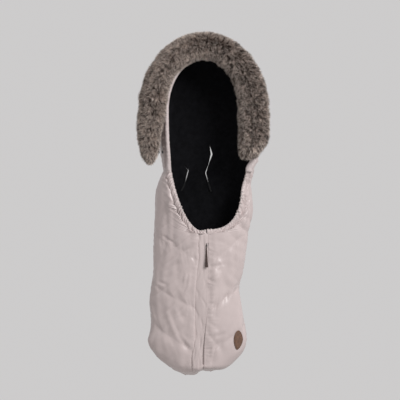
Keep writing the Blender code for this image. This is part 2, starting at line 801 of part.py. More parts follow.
def make_side(sign, name):
    """The part of a front panel that stays: beside the casing, the fold line and the foot."""
    edge, seam, puffs_here = side_rows(sign)
    outline = [(float(side_x(sign)(z)), z) for z in seam]
    angle, z, puff = surface_between(edge, outline, puffs_here, SIDE_COLUMN_SHARES)
    layered(name, lambda depth: front_points(angle, z, depth), puff)


# Hood


def hood_stations():
    """Outline points and centres along the hood's arch, from the left neck over the crown."""
    legs = blend(Z_NECK + PLY_GAP / 2, Z_DOME, np.array(HOOD_LEG_SHARES))
    left, right = sides(legs)
    middle = (left + right) / 2
    angles = np.linspace(math.pi, 0.0, HOOD_DOME_ROWS + 1)[1:-1]
    dome_x = HOOD_MIDDLE_X + HOOD_WIDTH / 2 * np.cos(angles)
    dome_z = Z_DOME + HOOD_HEIGHT * np.sin(angles)
    x = np.concatenate([left, dome_x, right[::-1]])
    z = np.concatenate([legs, dome_z, legs[::-1]])
    centre_x = np.concatenate([middle, np.full(len(angles), HOOD_MIDDLE_X), middle[::-1]])
    centre_z = np.concatenate([legs, np.full(len(angles), Z_DOME), legs[::-1]])
    leg_share = np.concatenate(
        [(Z_DOME - legs) / HOOD_LEG, np.zeros(len(angles)), (Z_DOME - legs[::-1]) / HOOD_LEG]
    )
    side = np.where(np.arange(len(x)) < len(x) / 2, -1, 1)
    return x, z, centre_x, centre_z, leg_share, side


def hood_points(angle, depth, spread=0.0):
    """Points of the hood band at an angle from its front, for each station along the arch."""
    x, z, centre_x, centre_z, leg_share, _ = hood_stations()
    reach = np.hypot(x - centre_x, z - centre_z)
    out_x, out_z = (x - centre_x) / reach, (z - centre_z) / reach
    ahead = blend(HOOD_DEPTH, float(front_depth(Z_NECK)), leg_share)
    shape = np.broadcast_shapes(np.shape(angle), (len(x), 1))
    angle = np.broadcast_to(angle, shape)
    radius = (reach[:, None] - depth) * np.sin(angle) + spread
    return np.stack(
        [
            centre_x[:, None] + out_x[:, None] * radius,
            np.broadcast_to(SEAM_Y - PLY_GAP / 2 - (ahead[:, None] - depth) * np.cos(angle), shape),
            centre_z[:, None] + out_z[:, None] * radius,
        ],
        axis=-1,
    )


def neck_angle(sign, offset):
    x, _ = mouth_edge(sign, mouth_share_at_height(sign, Z_NECK, offset), offset)
    return abs(float(angle_at(x, Z_NECK)))


def rim_angles(at_dome, offset):
    """The angle of the hood's edge, or of its binding, at each station: it runs out to the casing."""
    *_, leg_share, side = hood_stations()
    neck = np.where(side < 0, neck_angle(-1, offset), neck_angle(1, offset))
    return blend(at_dome, neck, leg_share**2)[:, None]


def make_hood():
    rim = rim_angles(RIM_ANGLE, CASING_ROOM)
    angle = blend(math.pi / 2, rim, np.array(HOOD_COLUMN_SHARES)[None])
    layered("hood", lambda depth: hood_points(angle, depth), np.ones(angle.shape))


def make_rim_binding():
    """The edging of the hood, a folded tube that meets the casings at the neck."""
    step = (CASING_RADIUS + CASING_GAP / 2) / HOOD_DEPTH
    path = hood_points(rim_angles(RIM_ANGLE - step, CASING_RADIUS), np.array([[MID_DEPTH]]))[:, 0]
    rings = round_rings(path, BINDING_RADIUS, CASING_SIDES)
    rings_mesh("hood_rim_binding", rings, SATIN, round_rings(path, CASING_BORE, CASING_SIDES))


def casing_path(sign, z_low, z_high, count):
    """The middle of the casing between two heights. Its lower end stops short of the zip's middle."""
    low = mouth_share_at_width(sign, CASING_END_GAP, CASING_RADIUS)
    if z_low is not None:
        low = mouth_share_at_height(sign, z_low, CASING_RADIUS)
    high = mouth_share_at_height(sign, z_high, CASING_RADIUS)
    x, z = mouth_edge(sign, np.linspace(low, high, count), CASING_RADIUS)
    return front_points(angle_at(x, z), z, MID_DEPTH)


def make_casing(sign, name, z_low, z_high, elastic_name):
    rough = casing_path(sign, z_low, z_high, 30)
    length = np.linalg.norm(np.diff(rough, axis=0), axis=1).sum()
    gathers = max(2, round(length / GATHER_SPACING))
    path = casing_path(sign, z_low, z_high, gathers * RINGS_PER_GATHER + 1)
    wave = np.cos(2 * math.pi * np.arange(len(path)) / RINGS_PER_GATHER)
    radii = CASING_RADIUS * (1 - GATHER_SHARE * (0.5 - 0.5 * wave))
    rings = round_rings(path, radii, CASING_SIDES)
    bore = round_rings(path, CASING_BORE, CASING_SIDES)
    rings_mesh(name, rings, SATIN, bore)
    rings_mesh(elastic_name, round_rings(path, ELASTIC_RADIUS, ELASTIC_SIDES), ELASTIC)


# Zip: a straight frame down the front, its local X across and its local Y up along the teeth


def zip_frame():
    ends = [front_points(angle_at(ZIP_X, z), z, QUILT_RISE) for z in (Z_ZIP_END, Z_MOUTH)]
    low, high = [Vector((ZIP_X, float(y), float(z))) for _, y, z in ends]
    length = (high - low).length
    along = (high - low) / length
    across = Vector((1.0, 0.0, 0.0))
    out = across.cross(along)
    turn = Matrix((across, along, out)).transposed().to_4x4()
    return Matrix.Translation(low + out * (TAPE_THICK / 2 + PLY_GAP)) @ turn, length


def tooth_outline(sign, low, high):
    """A comb, lying on its side: a bead with one tooth per pitch. The two rows are half a pitch apart."""
    points = [(sign * (TOOTH_ROOT + TEETH_BEAD), low), (sign * TOOTH_ROOT, low)]
    first = low + TOOTH_PITCH / 2 + (TOOTH_PITCH / 2 if sign > 0 else 0.0)
    for tooth in range(int((high - first) / TOOTH_PITCH)):
        y = first + tooth * TOOTH_PITCH
        points += [
            (sign * TOOTH_ROOT, y - TOOTH_ROOT_HALF),
            (-sign * TOOTH_REACH, y - TOOTH_TIP_HALF),
            (-sign * TOOTH_REACH, y + TOOTH_TIP_HALF),
            (sign * TOOTH_ROOT, y + TOOTH_ROOT_HALF),
        ]
    points += [(sign * TOOTH_ROOT, high), (sign * (TOOTH_ROOT + TEETH_BEAD), high)]
    return [(y, -x) for x, y in points]


def make_zip():
    place, length = zip_frame()
    top = length - CASING_ROOM
    for sign, side in ((-1, "left"), (1, "right")):
        teeth_top = top - SLIDER_PARK - SLIDER_LENGTH / 2
        outline = tooth_outline(sign, STOP_LENGTH + PLY_GAP, teeth_top)
        teeth = as_mesh(outline_curve(f"{side}_zip_teeth", [outline], TOOTH_THICK / 2, TEETH))
        teeth.matrix_world = place @ Matrix.Rotation(math.pi / 2, 4, "Z")
        near = TOOTH_ROOT + TEETH_BEAD + PLY_GAP
        ends = sorted((sign * near, sign * (near + TAPE_WIDTH)))
        box(
            f"{side}_zip_tape",
            (ends[0], PLY_GAP, -TAPE_THICK / 2),
            (ends[1], top, TAPE_THICK / 2),
            TAPE,
            place,
        )
        ends = sorted((sign * PLY_GAP * 2, sign * (near - PLY_GAP)))
        box(
            f"{side}_top_stop",
            (ends[0], top - STOP_LENGTH, -TOOTH_THICK / 2),
            (ends[1], top, TOOTH_THICK / 2),
            DARK_METAL,
            place,
        )
    reach = TOOTH_ROOT + TEETH_BEAD
    box(
        "bottom_stop",
        (-reach, 0.0, -TOOTH_THICK / 2),
        (reach, STOP_LENGTH, TOOTH_THICK / 2),
        DARK_METAL,
        place,
    )
    make_slider(place, top - SLIDER_PARK)
    make_placket(place, top)


def mirrored(shares, width, length):
    """A closed outline from its right half, in sizes."""
    right = [(x * width, y * length) for x, y in shares]
    left = [(-x, y) for x, y in reversed(right) if x > 0]
    return right + left


def make_slider(place, height):
    half_width, half_length = SLIDER_WIDTH / 2, SLIDER_LENGTH / 2
    channel = TOOTH_THICK / 2 + SLIDER_CLEAR
    slit = TAPE_THICK / 2 + SLIDER_CLEAR
    body = as_mesh(
        outline_curve(
            "slider",
            [mirrored(SLIDER_SHARES, half_width, half_length)],
            channel + SLIDER_PLATE,
            DARK_METAL,
        )
    )
    wedge = mirrored(WEDGE_SHARES, half_width, half_length)
    channel_cut = as_mesh(
        outline_curve(
            "slider_channel_cut",
            [mirrored(CHANNEL_SHARES, half_width, half_length), wedge],
            channel,
            DARK_METAL,
            CUTTERS,
        )
    )
    reach = half_width + OVERRUN
    slit_cut = as_mesh(
        outline_curve(
            "slider_slit_cut",
            [[(-reach, -reach), (reach, -reach), (reach, reach), (-reach, reach)], wedge],
            slit,
            DARK_METAL,
            CUTTERS,
        )
    )
    face = channel + SLIDER_PLATE
    top, low = (share * half_length for share in BRIDGE_SHARES)
    bridge = as_mesh(
        wire(
            "slider_bridge",
            [
                (0.0, top, face - SLIDER_PLATE / 2),
                (0.0, top, face + BRIDGE_HEIGHT / 2),
                (0.0, top - BRIDGE_HEIGHT / 2, face + BRIDGE_HEIGHT),
                (0.0, low + BRIDGE_HEIGHT / 2, face + BRIDGE_HEIGHT),
                (0.0, low, face + BRIDGE_HEIGHT / 2),
                (0.0, low, face - SLIDER_PLATE / 2),
            ],
            BRIDGE_WIRE,
            DARK_METAL,
            owner=CUTTERS,
        )
    )
    here = place @ Matrix.Translation((0.0, height, 0.0))
    for piece in (body, channel_cut, slit_cut, bridge):
        piece.matrix_world = here
    combine(body, channel_cut, "DIFFERENCE")
    combine(body, slit_cut, "DIFFERENCE")
    combine(body, bridge, "UNION")
    pivot = here @ Vector((0.0, 0.0, face + (BRIDGE_HEIGHT - BRIDGE_WIRE) / 2))
    make_pull(pivot)


def make_pull(pivot):
    """The ring through the slider's bridge and the leather pull that hangs from it, plumb."""
    hang = bpy.data.objects.new("pull_hinge", None)
    FOOTMUFF.objects.link(hang)
    hang.location = pivot
    half = RING_WIDTH / 2
    corner = RING_WIDTH / 5
    front = -BRIDGE_HEIGHT
    points = [
        (-half + corner, 0.0, 0.0),
        (half - corner, 0.0, 0.0),
        (half, front / 4, -corner),
        (half, front, -RING_LENGTH + corner),
        (half - corner, front, -RING_LENGTH),
        (-half + corner, front, -RING_LENGTH),
        (-half, front, -RING_LENGTH + corner),
        (-half, front / 4, -corner),
    ]
    ring = wire("pull_ring", points, RING_WIRE, DARK_METAL, closed=True)
    ring.parent = hang
    bore = RING_WIRE + PLY_GAP
    knuckle = bore + PULL_THICK * PULL_FOLD_SHARE
    start = math.asin(PULL_THICK / 2 / knuckle) - math.pi / 2
    turns = [blend(start, math.pi - start, step / KNUCKLE_SIDES) for step in range(KNUCKLE_SIDES + 1)]
    side_view = [(knuckle * math.cos(turn), knuckle * math.sin(turn)) for turn in turns]
    side_view += [(-PULL_THICK / 2, -PULL_NECK), (-PULL_THICK / 2, -PULL_LENGTH)]
    side_view += [(PULL_THICK / 2, -PULL_LENGTH), (PULL_THICK / 2, -PULL_NECK)]
    turns = [2 * math.pi * step / KNUCKLE_SIDES for step in range(KNUCKLE_SIDES)]
    hole = [(bore * math.cos(turn), bore * math.sin(turn)) for turn in turns]
    pull = as_mesh(outline_curve("leather_pull", [side_view, hole], 1.0, LEATHER))
    fold_half = half - RING_WIRE - PLY_GAP
    heights = (-PULL_LENGTH, -PULL_NECK, -knuckle)
    half_widths = (PULL_END_WIDTH / 2, PULL_TOP_WIDTH / 2, fold_half)
    for vertex in pull.data.vertices:
        vertex.co.z *= float(np.interp(vertex.co.y, heights, half_widths))
    pull.parent = hang
    pull.matrix_parent_inverse = Matrix.Identity(4)
    pull.matrix_basis = Matrix.Translation((0.0, front, -RING_LENGTH)) @ Matrix(
        ((0, 0, 1, 0), (1, 0, 0, 0), (0, 1, 0, 0), (0, 0, 0, 1))
    )


def make_placket(place, top):
    """The plain strip that covers the teeth, sewn along its left side."""
    lift_out = TOOTH_THICK / 2 + SLIDER_CLEAR + SLIDER_PLATE + PLY_GAP
    right = -RING_WIDTH / 2 - RING_WIRE - PLY_GAP
    box(
        "zip_placket",
        (-PLACKET_WIDTH, STOP_LENGTH, lift_out),
        (right, top - STOP_LENGTH / 2, lift_out + PLACKET_THICK),
        SATIN,
        place,
    )


# Fur trim

def arch_height(radius):
    """How high the arch rises over the dome's centre: like the hood near it, flatter further out."""
    knee = ARCH_KNEE_SHARE * HOOD_WIDTH / 2
    near = np.minimum(radius, knee) * HOOD_HEIGHT / (HOOD_WIDTH / 2)
    return near + ARCH_SPREAD_SHARE * np.maximum(radius - knee, 0.0)


def fur_stations():
    """Angle round the dome, drop of the leg below it and share of the section, from left end to right."""
    stations = []
    left = np.linspace(FUR_END_LEFT, 0.0, FUR_LEG_ROWS + 1)
    right = np.linspace(0.0, FUR_END_RIGHT, FUR_LEG_ROWS + 1)
    for row, drop in enumerate(left[:-1]):
        stations.append((math.pi, drop, FUR_LEFT_SHARES[row]))
    for angle in np.linspace(math.pi, 0.0, FUR_DOME_ROWS + 1):
        stations.append((angle, 0.0, 1.0))
    for row, drop in enumerate(right[1:]):
        stations.append((0.0, drop, FUR_RIGHT_SHARES[len(right) - 2 - row]))
    return stations


def make_fur():
    unit = HOOD_WIDTH / 2
    section = np.array(FUR_SECTION_SHARES) * unit
    middle = section.mean(axis=0)
    rings = []
    for angle, drop, size in fur_stations():
        swing = FUR_SWING * smooth(drop / FUR_END_LEFT) if angle > math.pi / 2 else 0.0
        radius = blend(middle[0], section[:, 0], size) + swing
        ahead = blend(middle[1], section[:, 1], size)
        x = HOOD_MIDDLE_X + radius * math.cos(angle)
        slant = FUR_SLANT * drop / FUR_END_RIGHT * (radius - middle[0]) if angle < math.pi / 2 else 0.0
        z = Z_DOME + arch_height(radius) * math.sin(angle) - drop + slant
        rings.append(np.stack([x, SEAM_Y - ahead, z], axis=-1))
    rings_mesh("fur_trim", np.array(rings), FUR)


def strip_swing():
    """How far the loose left end of the trim stands off the hood at each station."""
    _, z, *_ = hood_stations()
    left = np.arange(len(z)) < len(z) / 2
    drop = np.clip(Z_DOME - z, 0.0, None)
    return np.where(left, FUR_SWING * smooth(drop / FUR_END_LEFT), 0.0)[:, None]


def snap_angles():
    """Snap fasteners sit on one of the hood's lines of points."""
    return blend(math.pi / 2, rim_angles(RIM_ANGLE, CASING_ROOM), HOOD_COLUMN_SHARES[-2])


def seats(swing):
    """A place on the hood at each station, its Z pointing out of the surface."""
    angle = snap_angles()
    step = STRIP_SPREADS[0] / 2
    around = hood_points(angle + step, 0.0, swing)[:, 0] - hood_points(angle - step, 0.0, swing)[:, 0]
    points = hood_points(angle, 0.0, swing)[:, 0]
    out = np.cross(np.gradient(points, axis=0), around)
    places = []
    for point, direction in zip(points, out):
        turn = Vector(direction).to_track_quat("Z", "Y").to_matrix().to_4x4()
        places.append(Matrix.Translation(Vector(point)) @ turn)
    return places


def make_strip_and_snaps():
    """The strip that carries the fur, and the snap fasteners between it and the hood."""
    swing = strip_swing()
    angle = snap_angles() + np.array(STRIP_SPREADS)[None]
    used = slice(STRIP_FIRST, STRIP_LAST + 1)
    near = hood_points(angle, -FUR_STRIP_LIFT, swing)
    far = hood_points(angle, -FUR_STRIP_LIFT - FUR_STRIP_THICK, swing)
    slab("trim_strip", far[used], near[used], SUEDE)
    post_z = PLY_GAP + SNAP_BASE
    socket_z = post_z + PLY_GAP
    stud = [
        (0.0, post_z + SNAP_POST),
        (SNAP_POST_RADIUS, post_z + SNAP_POST),
        (SNAP_POST_RADIUS, post_z),
        (SNAP_RADIUS, post_z),
        (SNAP_RADIUS, PLY_GAP),
        (0.0, PLY_GAP),
    ]
    socket = [
        (SNAP_BORE, socket_z),
        (SNAP_BORE, socket_z + SNAP_SOCKET),
        (SNAP_RADIUS, socket_z + SNAP_SOCKET),
        (SNAP_RADIUS, socket_z),
    ]
    for number, station in enumerate(SNAP_STATIONS, start=1):
        turned(f"rim_snap_stud_{number}", stud).matrix_world = seats(0.0 * swing)[station]
        turned(f"trim_snap_socket_{number}", socket, closed=True).matrix_world = seats(swing)[station]


def turned(name, profile, closed=False):
    """A profile of radius and height turned about local Z."""
    mesh = bpy.data.meshes.new(name)
    points = [(radius, 0.0, height) for radius, height in profile]
    edges = [(i, i + 1) for i in range(len(points) - 1)]
    if closed:
        edges.append((len(points) - 1, 0))
    mesh.from_pydata(points, edges, [])
    mesh.materials.append(material(DARK_METAL))
    obj = bpy.data.objects.new(name, mesh)
    FOOTMUFF.objects.link(obj)
    screw = obj.modifiers.new("turn", "SCREW")
    screw.steps = screw.render_steps = SNAP_SIDES
    screw.use_merge_vertices = True
    screw.merge_threshold = PLY_GAP / 10
    return obj


# Back


def stadium(half_width, half_length, steps=6):
    """An upright slot outline with round ends."""
    straight = half_length - half_width
    points = []
    for centre, start in ((straight, 0.0), (-straight, math.pi)):
        for step in range(steps + 1):
            turn = start + math.pi * step / steps
            points.append((half_width * math.cos(turn), centre + half_width * math.sin(turn)))
    return points


def slot_places():
    shoulder_z = Z_NECK + SLOT_RISE - SLOT_LENGTH / 2
    crotch_z = Z_NECK - CROTCH_SLOT_DROP
    half = SLOT_SPACING / 2
    return (
        ("left_shoulder", SLOT_MIDDLE_X - half, shoulder_z, SLOT_LENGTH),
        ("right_shoulder", SLOT_MIDDLE_X + half, shoulder_z, SLOT_LENGTH),
        ("crotch", PATCH_MIDDLE_X, crotch_z, CROTCH_SLOT_LENGTH),
    )


def make_back():
    cutters = []
    for name, x, z, length in slot_places():
        middle = SEAM_Y + float(back_depth(z)) - MID_DEPTH
        upright = Matrix.Translation((x, middle, z)) @ Matrix.Rotation(math.pi / 2, 4, "X")
        outer, opening = SLOT_OPEN / 2 + SLOT_EDGE, SLOT_OPEN / 2
        cutter = as_mesh(
            outline_curve(
                f"{name}_slot_cut",
                [stadium(outer + PLY_GAP, length / 2 + SLOT_EDGE + PLY_GAP)],
                FULL_DEPTH + OVERRUN,
                SATIN,
                CUTTERS,
            )
        )
        cutter.matrix_world = upright
        cutters.append(cutter)
        edge = outline_curve(
            f"{name}_slot_binding",
            [stadium(outer, length / 2 + SLOT_EDGE), stadium(opening, length / 2)],
            MID_DEPTH + SHELL,
            FLEECE,
        )
        edge.matrix_world = upright
    dome = [Z_DOME + HOOD_HEIGHT * math.sin(angle) for angle in BACK_DOME_ANGLES]
    legs = list(np.linspace(Z_DOME, Z_NECK, BACK_LEG_ROWS + 1)[1:-1])
    head = np.array(dome + legs)
    left, right = (np.concatenate([head, side_rows(sign)[1]])[:, None] for sign in (-1, 1))
    angle = np.array(BACK_COLUMNS)[None]
    z = blend(left, right, (1 + np.sin(angle)) / 2)
    layered("back", lambda depth: back_points(angle, z, depth), np.ones(z.shape), cutters)


def make_grip_patch():
    """The non-slip patch on the flat of the back."""
    face = SEAM_Y + BACK_DEPTH + PLY_GAP * 1.5
    top = Z_NECK - PATCH_DROP
    crotch_x, crotch_z, crotch_length = slot_places()[2][1:]
    patch = box(
        "grip_patch",
        (PATCH_MIDDLE_X - PATCH_WIDTH / 2, face, top - PATCH_HEIGHT),
        (PATCH_MIDDLE_X + PATCH_WIDTH / 2, face + PATCH_THICK, top),
        GRIP,
    )
    room = SLOT_OPEN / 2 + SLOT_EDGE + PLY_GAP * 2
    cutter = as_mesh(
        outline_curve(
            "grip_slot_cut",
            [stadium(room, crotch_length / 2 + SLOT_EDGE + PLY_GAP * 2)],
            OVERRUN,
            GRIP,
            CUTTERS,
        )
    )
    upright = Matrix.Rotation(math.pi / 2, 4, "X")
    cutter.matrix_world = Matrix.Translation((crotch_x, face, crotch_z)) @ upright
    combine(patch, cutter, "DIFFERENCE")


def band_outline(path, thick):
    """A thin band along a path in the plane: the path moved to both sides by half the thickness."""
    path = np.array(path)
    along = np.gradient(path, axis=0)
    along /= np.linalg.norm(along, axis=1, keepdims=True)
    side = np.stack([-along[:, 1], along[:, 0]], axis=1) * thick / 2
    return [tuple(p) for p in path + side] + [tuple(p) for p in (path - side)[::-1]]


def make_straps():
    """Webbing that goes round the bar and closes on itself below it, over a hook-and-loop patch."""
    loop = BAR_RADIUS + STRAP_SLACK + STRAP_THICK / 2
    stack = STRAP_THICK + CLOSURE_THICK + 2 * PLY_GAP
    tail = -STRAP_TAIL
    closure_top = tail + CLOSURE_LENGTH
    path = [(-loop, tail), (-loop, closure_top), (-loop, tail / 4), (-loop, 0.0)]
    sweep = 2 * math.pi - STRAP_CLOSE_ANGLE
    for step in range(1, LOOP_STEPS + 1):
        turn = math.pi - sweep * step / LOOP_STEPS
        path.append((loop * math.cos(turn), loop * math.sin(turn)))
    path.append((-loop + stack, closure_top + CLOSURE_LENGTH / 3))
    path.append((-loop + stack, closure_top))
    path.append((-loop + stack, tail + STRAP_THICK * 2))
    for sign, side in ((-1, "left"), (1, "right")):
        x = HOOD_MIDDLE_X + sign * STRAP_SPACING / 2
        outline = band_outline(path, STRAP_THICK)
        strap = outline_curve(f"{side}_head_strap", [outline], STRAP_WIDTH / 2, WEBBING)
        strap.matrix_world = Matrix.Translation((x, 0.0, 0.0)) @ Matrix(
            ((0, 0, 1, 0), (1, 0, 0, 0), (0, 1, 0, 0), (0, 0, 0, 1))
        )
        front = -loop + STRAP_THICK / 2 + PLY_GAP
        box(
            f"{side}_strap_closure",
            (x - STRAP_WIDTH / 2 + STRAP_THICK, front, tail + STRAP_THICK * 2),
            (x + STRAP_WIDTH / 2 - STRAP_THICK, front + CLOSURE_THICK, closure_top - STRAP_THICK),
            GRIP,
        )


# Leather label


def label_x(z):
    return float(side_x(1)(z)) - LABEL_INSET


def make_label():
    """An oval patch under the right side's lowest quilting seam."""
    steps = np.linspace(-1.0, 1.0, LABEL_STEPS)
    u, v = np.meshgrid(steps, steps)
    across = u * np.sqrt(1 - v * v / 2)
    up = v * np.sqrt(1 - u * u / 2)
    z_middle = blend(Z_FOOT, where_seam_meets(1, quilt_seams(1)[-2][0], label_x), LABEL_RISE_SHARE)
    middle, half = middle_and_half(z_middle)
    centre_angle = math.asin((label_x(z_middle) - float(middle)) / float(half))
    across_girth = float(half) * math.cos(centre_angle)
    girth = math.hypot(across_girth, float(front_depth(z_middle)) * math.sin(centre_angle))
    angle = centre_angle + across * LABEL_WIDTH / 2 / girth
    z = z_middle + up * LABEL_HEIGHT / 2
    sunk = QUILT_RISE * LABEL_SINK_SHARE
    slab(
        "leather_label",
        front_points(angle, z, sunk - PLY_GAP - LABEL_THICK),
        front_points(angle, z, sunk - PLY_GAP),
        LABEL_LEATHER,
    )


clear_scene()
FOOTMUFF = collection("stroller_footmuff")
CUTTERS = collection("cutters", hidden=True)

make_back()
make_hood()
make_rim_binding()
for SIGN, SIDE in ((-1, "left"), (1, "right")):
    make_side(SIGN, f"{SIDE}_side")
    make_flap(SIGN, f"{SIDE}_flap")
    make_casing(SIGN, f"{SIDE}_flap_casing", None, Z_FOLD_TOP, f"{SIDE}_flap_elastic")
    make_casing(SIGN, f"{SIDE}_neck_casing", Z_FOLD_TOP + NECK_GAP, Z_NECK - NECK_GAP, f"{SIDE}_neck_elastic")
make_zip()
make_fur()
make_strip_and_snaps()
make_grip_patch()
make_straps()
make_label()
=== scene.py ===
"""Looks of a padded stroller footmuff with a fur-trimmed hood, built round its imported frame.

Metres, +Z up, the front towards -Y. Satin, fleece and fur are surfaces worked out on grids: the bag's
sections give the base, and quilting, gathers and soft folds are heights added along its normals.
"""

import math  # noqa: E402

import bpy  # noqa: E402
import numpy as np  # noqa: E402
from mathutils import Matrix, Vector  # noqa: E402


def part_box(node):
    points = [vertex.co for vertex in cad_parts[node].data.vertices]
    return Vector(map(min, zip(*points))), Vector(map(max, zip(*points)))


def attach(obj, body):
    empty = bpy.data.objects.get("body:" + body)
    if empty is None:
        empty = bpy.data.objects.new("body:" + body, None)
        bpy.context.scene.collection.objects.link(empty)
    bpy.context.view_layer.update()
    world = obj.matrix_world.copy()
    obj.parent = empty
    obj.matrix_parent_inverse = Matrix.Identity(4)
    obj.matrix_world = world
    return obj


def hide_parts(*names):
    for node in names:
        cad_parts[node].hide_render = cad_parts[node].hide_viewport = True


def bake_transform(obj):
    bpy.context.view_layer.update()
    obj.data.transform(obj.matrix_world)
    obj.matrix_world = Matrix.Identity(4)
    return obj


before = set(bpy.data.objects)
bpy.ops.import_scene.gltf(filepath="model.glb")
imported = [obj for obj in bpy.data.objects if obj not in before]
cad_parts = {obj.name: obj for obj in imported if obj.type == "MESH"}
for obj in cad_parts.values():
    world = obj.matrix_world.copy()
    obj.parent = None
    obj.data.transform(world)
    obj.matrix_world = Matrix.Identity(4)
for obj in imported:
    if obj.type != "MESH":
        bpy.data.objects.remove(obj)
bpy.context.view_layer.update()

# Overall sizes of the bag and the hood
BAG_LENGTH = 0.600
BAG_WIDTH = 0.300
HOOD_LEG = 0.173
HOOD_HEIGHT = 0.190
HOOD_WIDTH = 0.270
HOOD_DEPTH = 0.130
HOOD_MIDDLE_X = 0.008
BACK_DEPTH = 0.050
HEAD_BACK_DEPTH = 0.040
MOUTH_FRONT_DEPTH = 0.070
FOOT_FRONT_DEPTH = 0.0555
NECK_FLARE = 0.024
LEG_FLARE = 0.017
LEG_FLARE_AT = 0.78
RIM_ANGLE = math.radians(60)

# Layers, and how much of its pitch a stitch fills
STITCH_SHARE = 0.62
QUILT_RISE = 0.0060
PAD_DEPTH = 0.0105
FULL_DEPTH = 0.0140
SEAM_GAP = 0.0003

# Foot end
FOOT_ROUND = 0.035
FOOT_TAPER = 0.120
FOOT_END_DEPTH = 0.0150
FOOT_DRIFT = 0.0105

# Heights
Z_CROWN = 0.043
Z_DOME = Z_CROWN - HOOD_HEIGHT
Z_NECK = Z_DOME - HOOD_LEG
Z_FOOT = Z_NECK - BAG_LENGTH
Z_MOUTH = Z_NECK - 0.177
Z_FOLD_TOP = Z_NECK - 0.100
Z_ZIP_END = Z_FOOT + FOOT_ROUND
Z_QUILT_TOP = Z_MOUTH - 0.096
SEAM_Y = -0.0717

# Opening
MOUTH_DROP = 0.177
MOUTH_LEFT = 0.111
MOUTH_RIGHT = 0.1100
MOUTH_FLARE = 0.0125
MOUTH_FLARE_FROM = 0.66
MOUTH_POWER = 2.4
MOUTH_SQUARE = 2.9
MOUTH_LIFT = 0.0062
MOUTH_LIFT_TO = 0.7
EDGE_STEP = 0.002
HALVINGS = 40
EDGE_ENDS = {-1: 1.2, 1: 1.0}
CASING_ROOM = 0.0129
CASING_HALF = {-1: 0.0072, 1: 0.0098}
CASING_THICK = 0.0056
CASING_LOBE = 0.0025
TUCK = 0.0035

# Quilting seams, measured at the zip, with how deep each draws the cloth in, from the top one down, and the
# puckers beside them
QUILT_SPACINGS = (0.140, 0.117)
QUILT_SLOPE = 0.80
QUILT_START = {-1: -0.0250, 1: 0.0}
QUILT_REACH = 0.0095
VALLEY_ROUND = 0.0030
SEAM_STRENGTH = {-1: (0.30, 0.40, 0.50), 1: (0.30, 0.68, 0.60)}
PUCKER = 0.00045
PUCKER_REACH = 0.016

# Heights over the quilting's level: the crests, and where the cloth is held down
CREST = 0.0012
LIP_LEVEL = -0.0018
LIP_THICK = 0.0011
NECK_LEVEL = -0.0004
TUCK_LEVEL = -0.0055
SIDE_LEVEL = -0.0028
FOOT_LEVEL = -0.0030
SEAM_LEVEL = -0.0020
HOOD_TUCK_LEVEL = -0.0050

# Fold lines of the two front flaps, measured from the zip, and how far either side of them the cloth bends
FOLD_END_SLOPE = 0.20
FOLD_LOW = {-1: 0.0300, 1: 0.0158}
FOLD_HIGH = {-1: 0.1078, 1: 0.1172}

# Zip, placket and tapes
ZIP_X = 0.0158
ZIP_SLOT = 0.0075
ZIP_REACH = 0.0127
ZIP_EDGE = {-1: 0.0075, 1: 0.0010}
PLACKET_LEFT = -0.0262
PLACKET_RIGHT = 0.0045
PLACKET_DRIFT = 1.51
TAPE_WIDTH = 0.0095
TAPE_OUT = 0.0032 + TAPE_WIDTH / 2

# Label
LABEL_X = 0.110
LABEL_Z = Z_FOOT + 0.107
LABEL_BED = -0.0020
LABEL_HALF_WIDTH = 0.0148
LABEL_HALF_HEIGHT = 0.0275

# Half widths and back depth from the neck down, as shares of half the bag's width and of its back's depth
BAG_SHARES = np.array(
    (
        (0.000, 0.740, 1.045, 0.86),
        (0.060, 0.827, 0.975, 0.93),
        (0.130, 0.890, 0.995, 1.00),
        (0.200, 0.903, 1.005, 1.00),
        (0.300, 0.923, 0.933, 1.00),
        (0.400, 0.937, 0.883, 1.00),
        (0.500, 0.943, 0.815, 1.00),
        (0.570, 0.983, 0.757, 1.00),
        (0.650, 1.007, 0.793, 1.00),
        (0.720, 0.990, 0.840, 1.00),
        (0.780, 0.997, 0.885, 0.98),
        (0.830, 1.047, 0.897, 0.94),
        (0.880, 0.957, 0.837, 0.87),
        (0.920, 0.810, 0.700, 0.78),
        (0.960, 0.600, 0.507, 0.62),
        (0.985, 0.440, 0.307, 0.45),
        (1.000, 0.313, 0.200, 0.30),
    )
)
BACK_DOME_ANGLES = np.radians((78, 64, 50, 35, 18, 0))
BACK_DOME_SHARES = np.array((0.38, 0.70, 0.90, 1.0, 1.0, 1.0))
BACK_POWER = 3.2
BACK_FLAT = math.cos(math.radians(20)) ** (2 / BACK_POWER)

# Fur trim: its section as distance out from the hood's middle and before the seam, in half hood widths
FUR_SECTION = np.array(
    (
        (0.800, 0.625),
        (0.830, 0.760),
        (1.000, 0.850),
        (1.240, 0.790),
        (1.425, 0.600),
        (1.410, 0.400),
        (1.225, 0.290),
        (1.006, 0.306),
        (0.924, 0.468),
        (0.9145, 0.600),
    )
)
FUR_END = {-1: 0.136, 1: 0.118}
FUR_SWING = 0.010
FUR_SLANT = 1.00
FUR_INWARD = 0.012
DOME_RUN = 2.9
# The trim's size from each end up its leg, at five even steps
FUR_TAPER = {
    -1: np.array((0.20, 0.44, 0.64, 0.80, 0.92, 1.0)),
    1: np.array((0.84, 1.0, 1.0, 1.0, 1.0, 1.0)),
}

# Camera and light: each lamp's place, width and power
CAMERA_DISTANCE = 4.6
VIEW_WIDTH = 1.168
VIEW_MIDDLE = (-0.003, -0.09, -0.406)
WALL = 0.61
FLOOR_RADIUS = 1.30
FLOOR_Z = -1.22
AMBIENT = 0.40
LAMPS = (
    ("key", (2.3, -2.7, 1.4), 1.9, 124.0),
    ("fill", (-2.8, -1.6, 0.5), 2.4, 9.0),
    ("rim", (0.6, 2.4, 1.4), 1.6, 9.0),
)

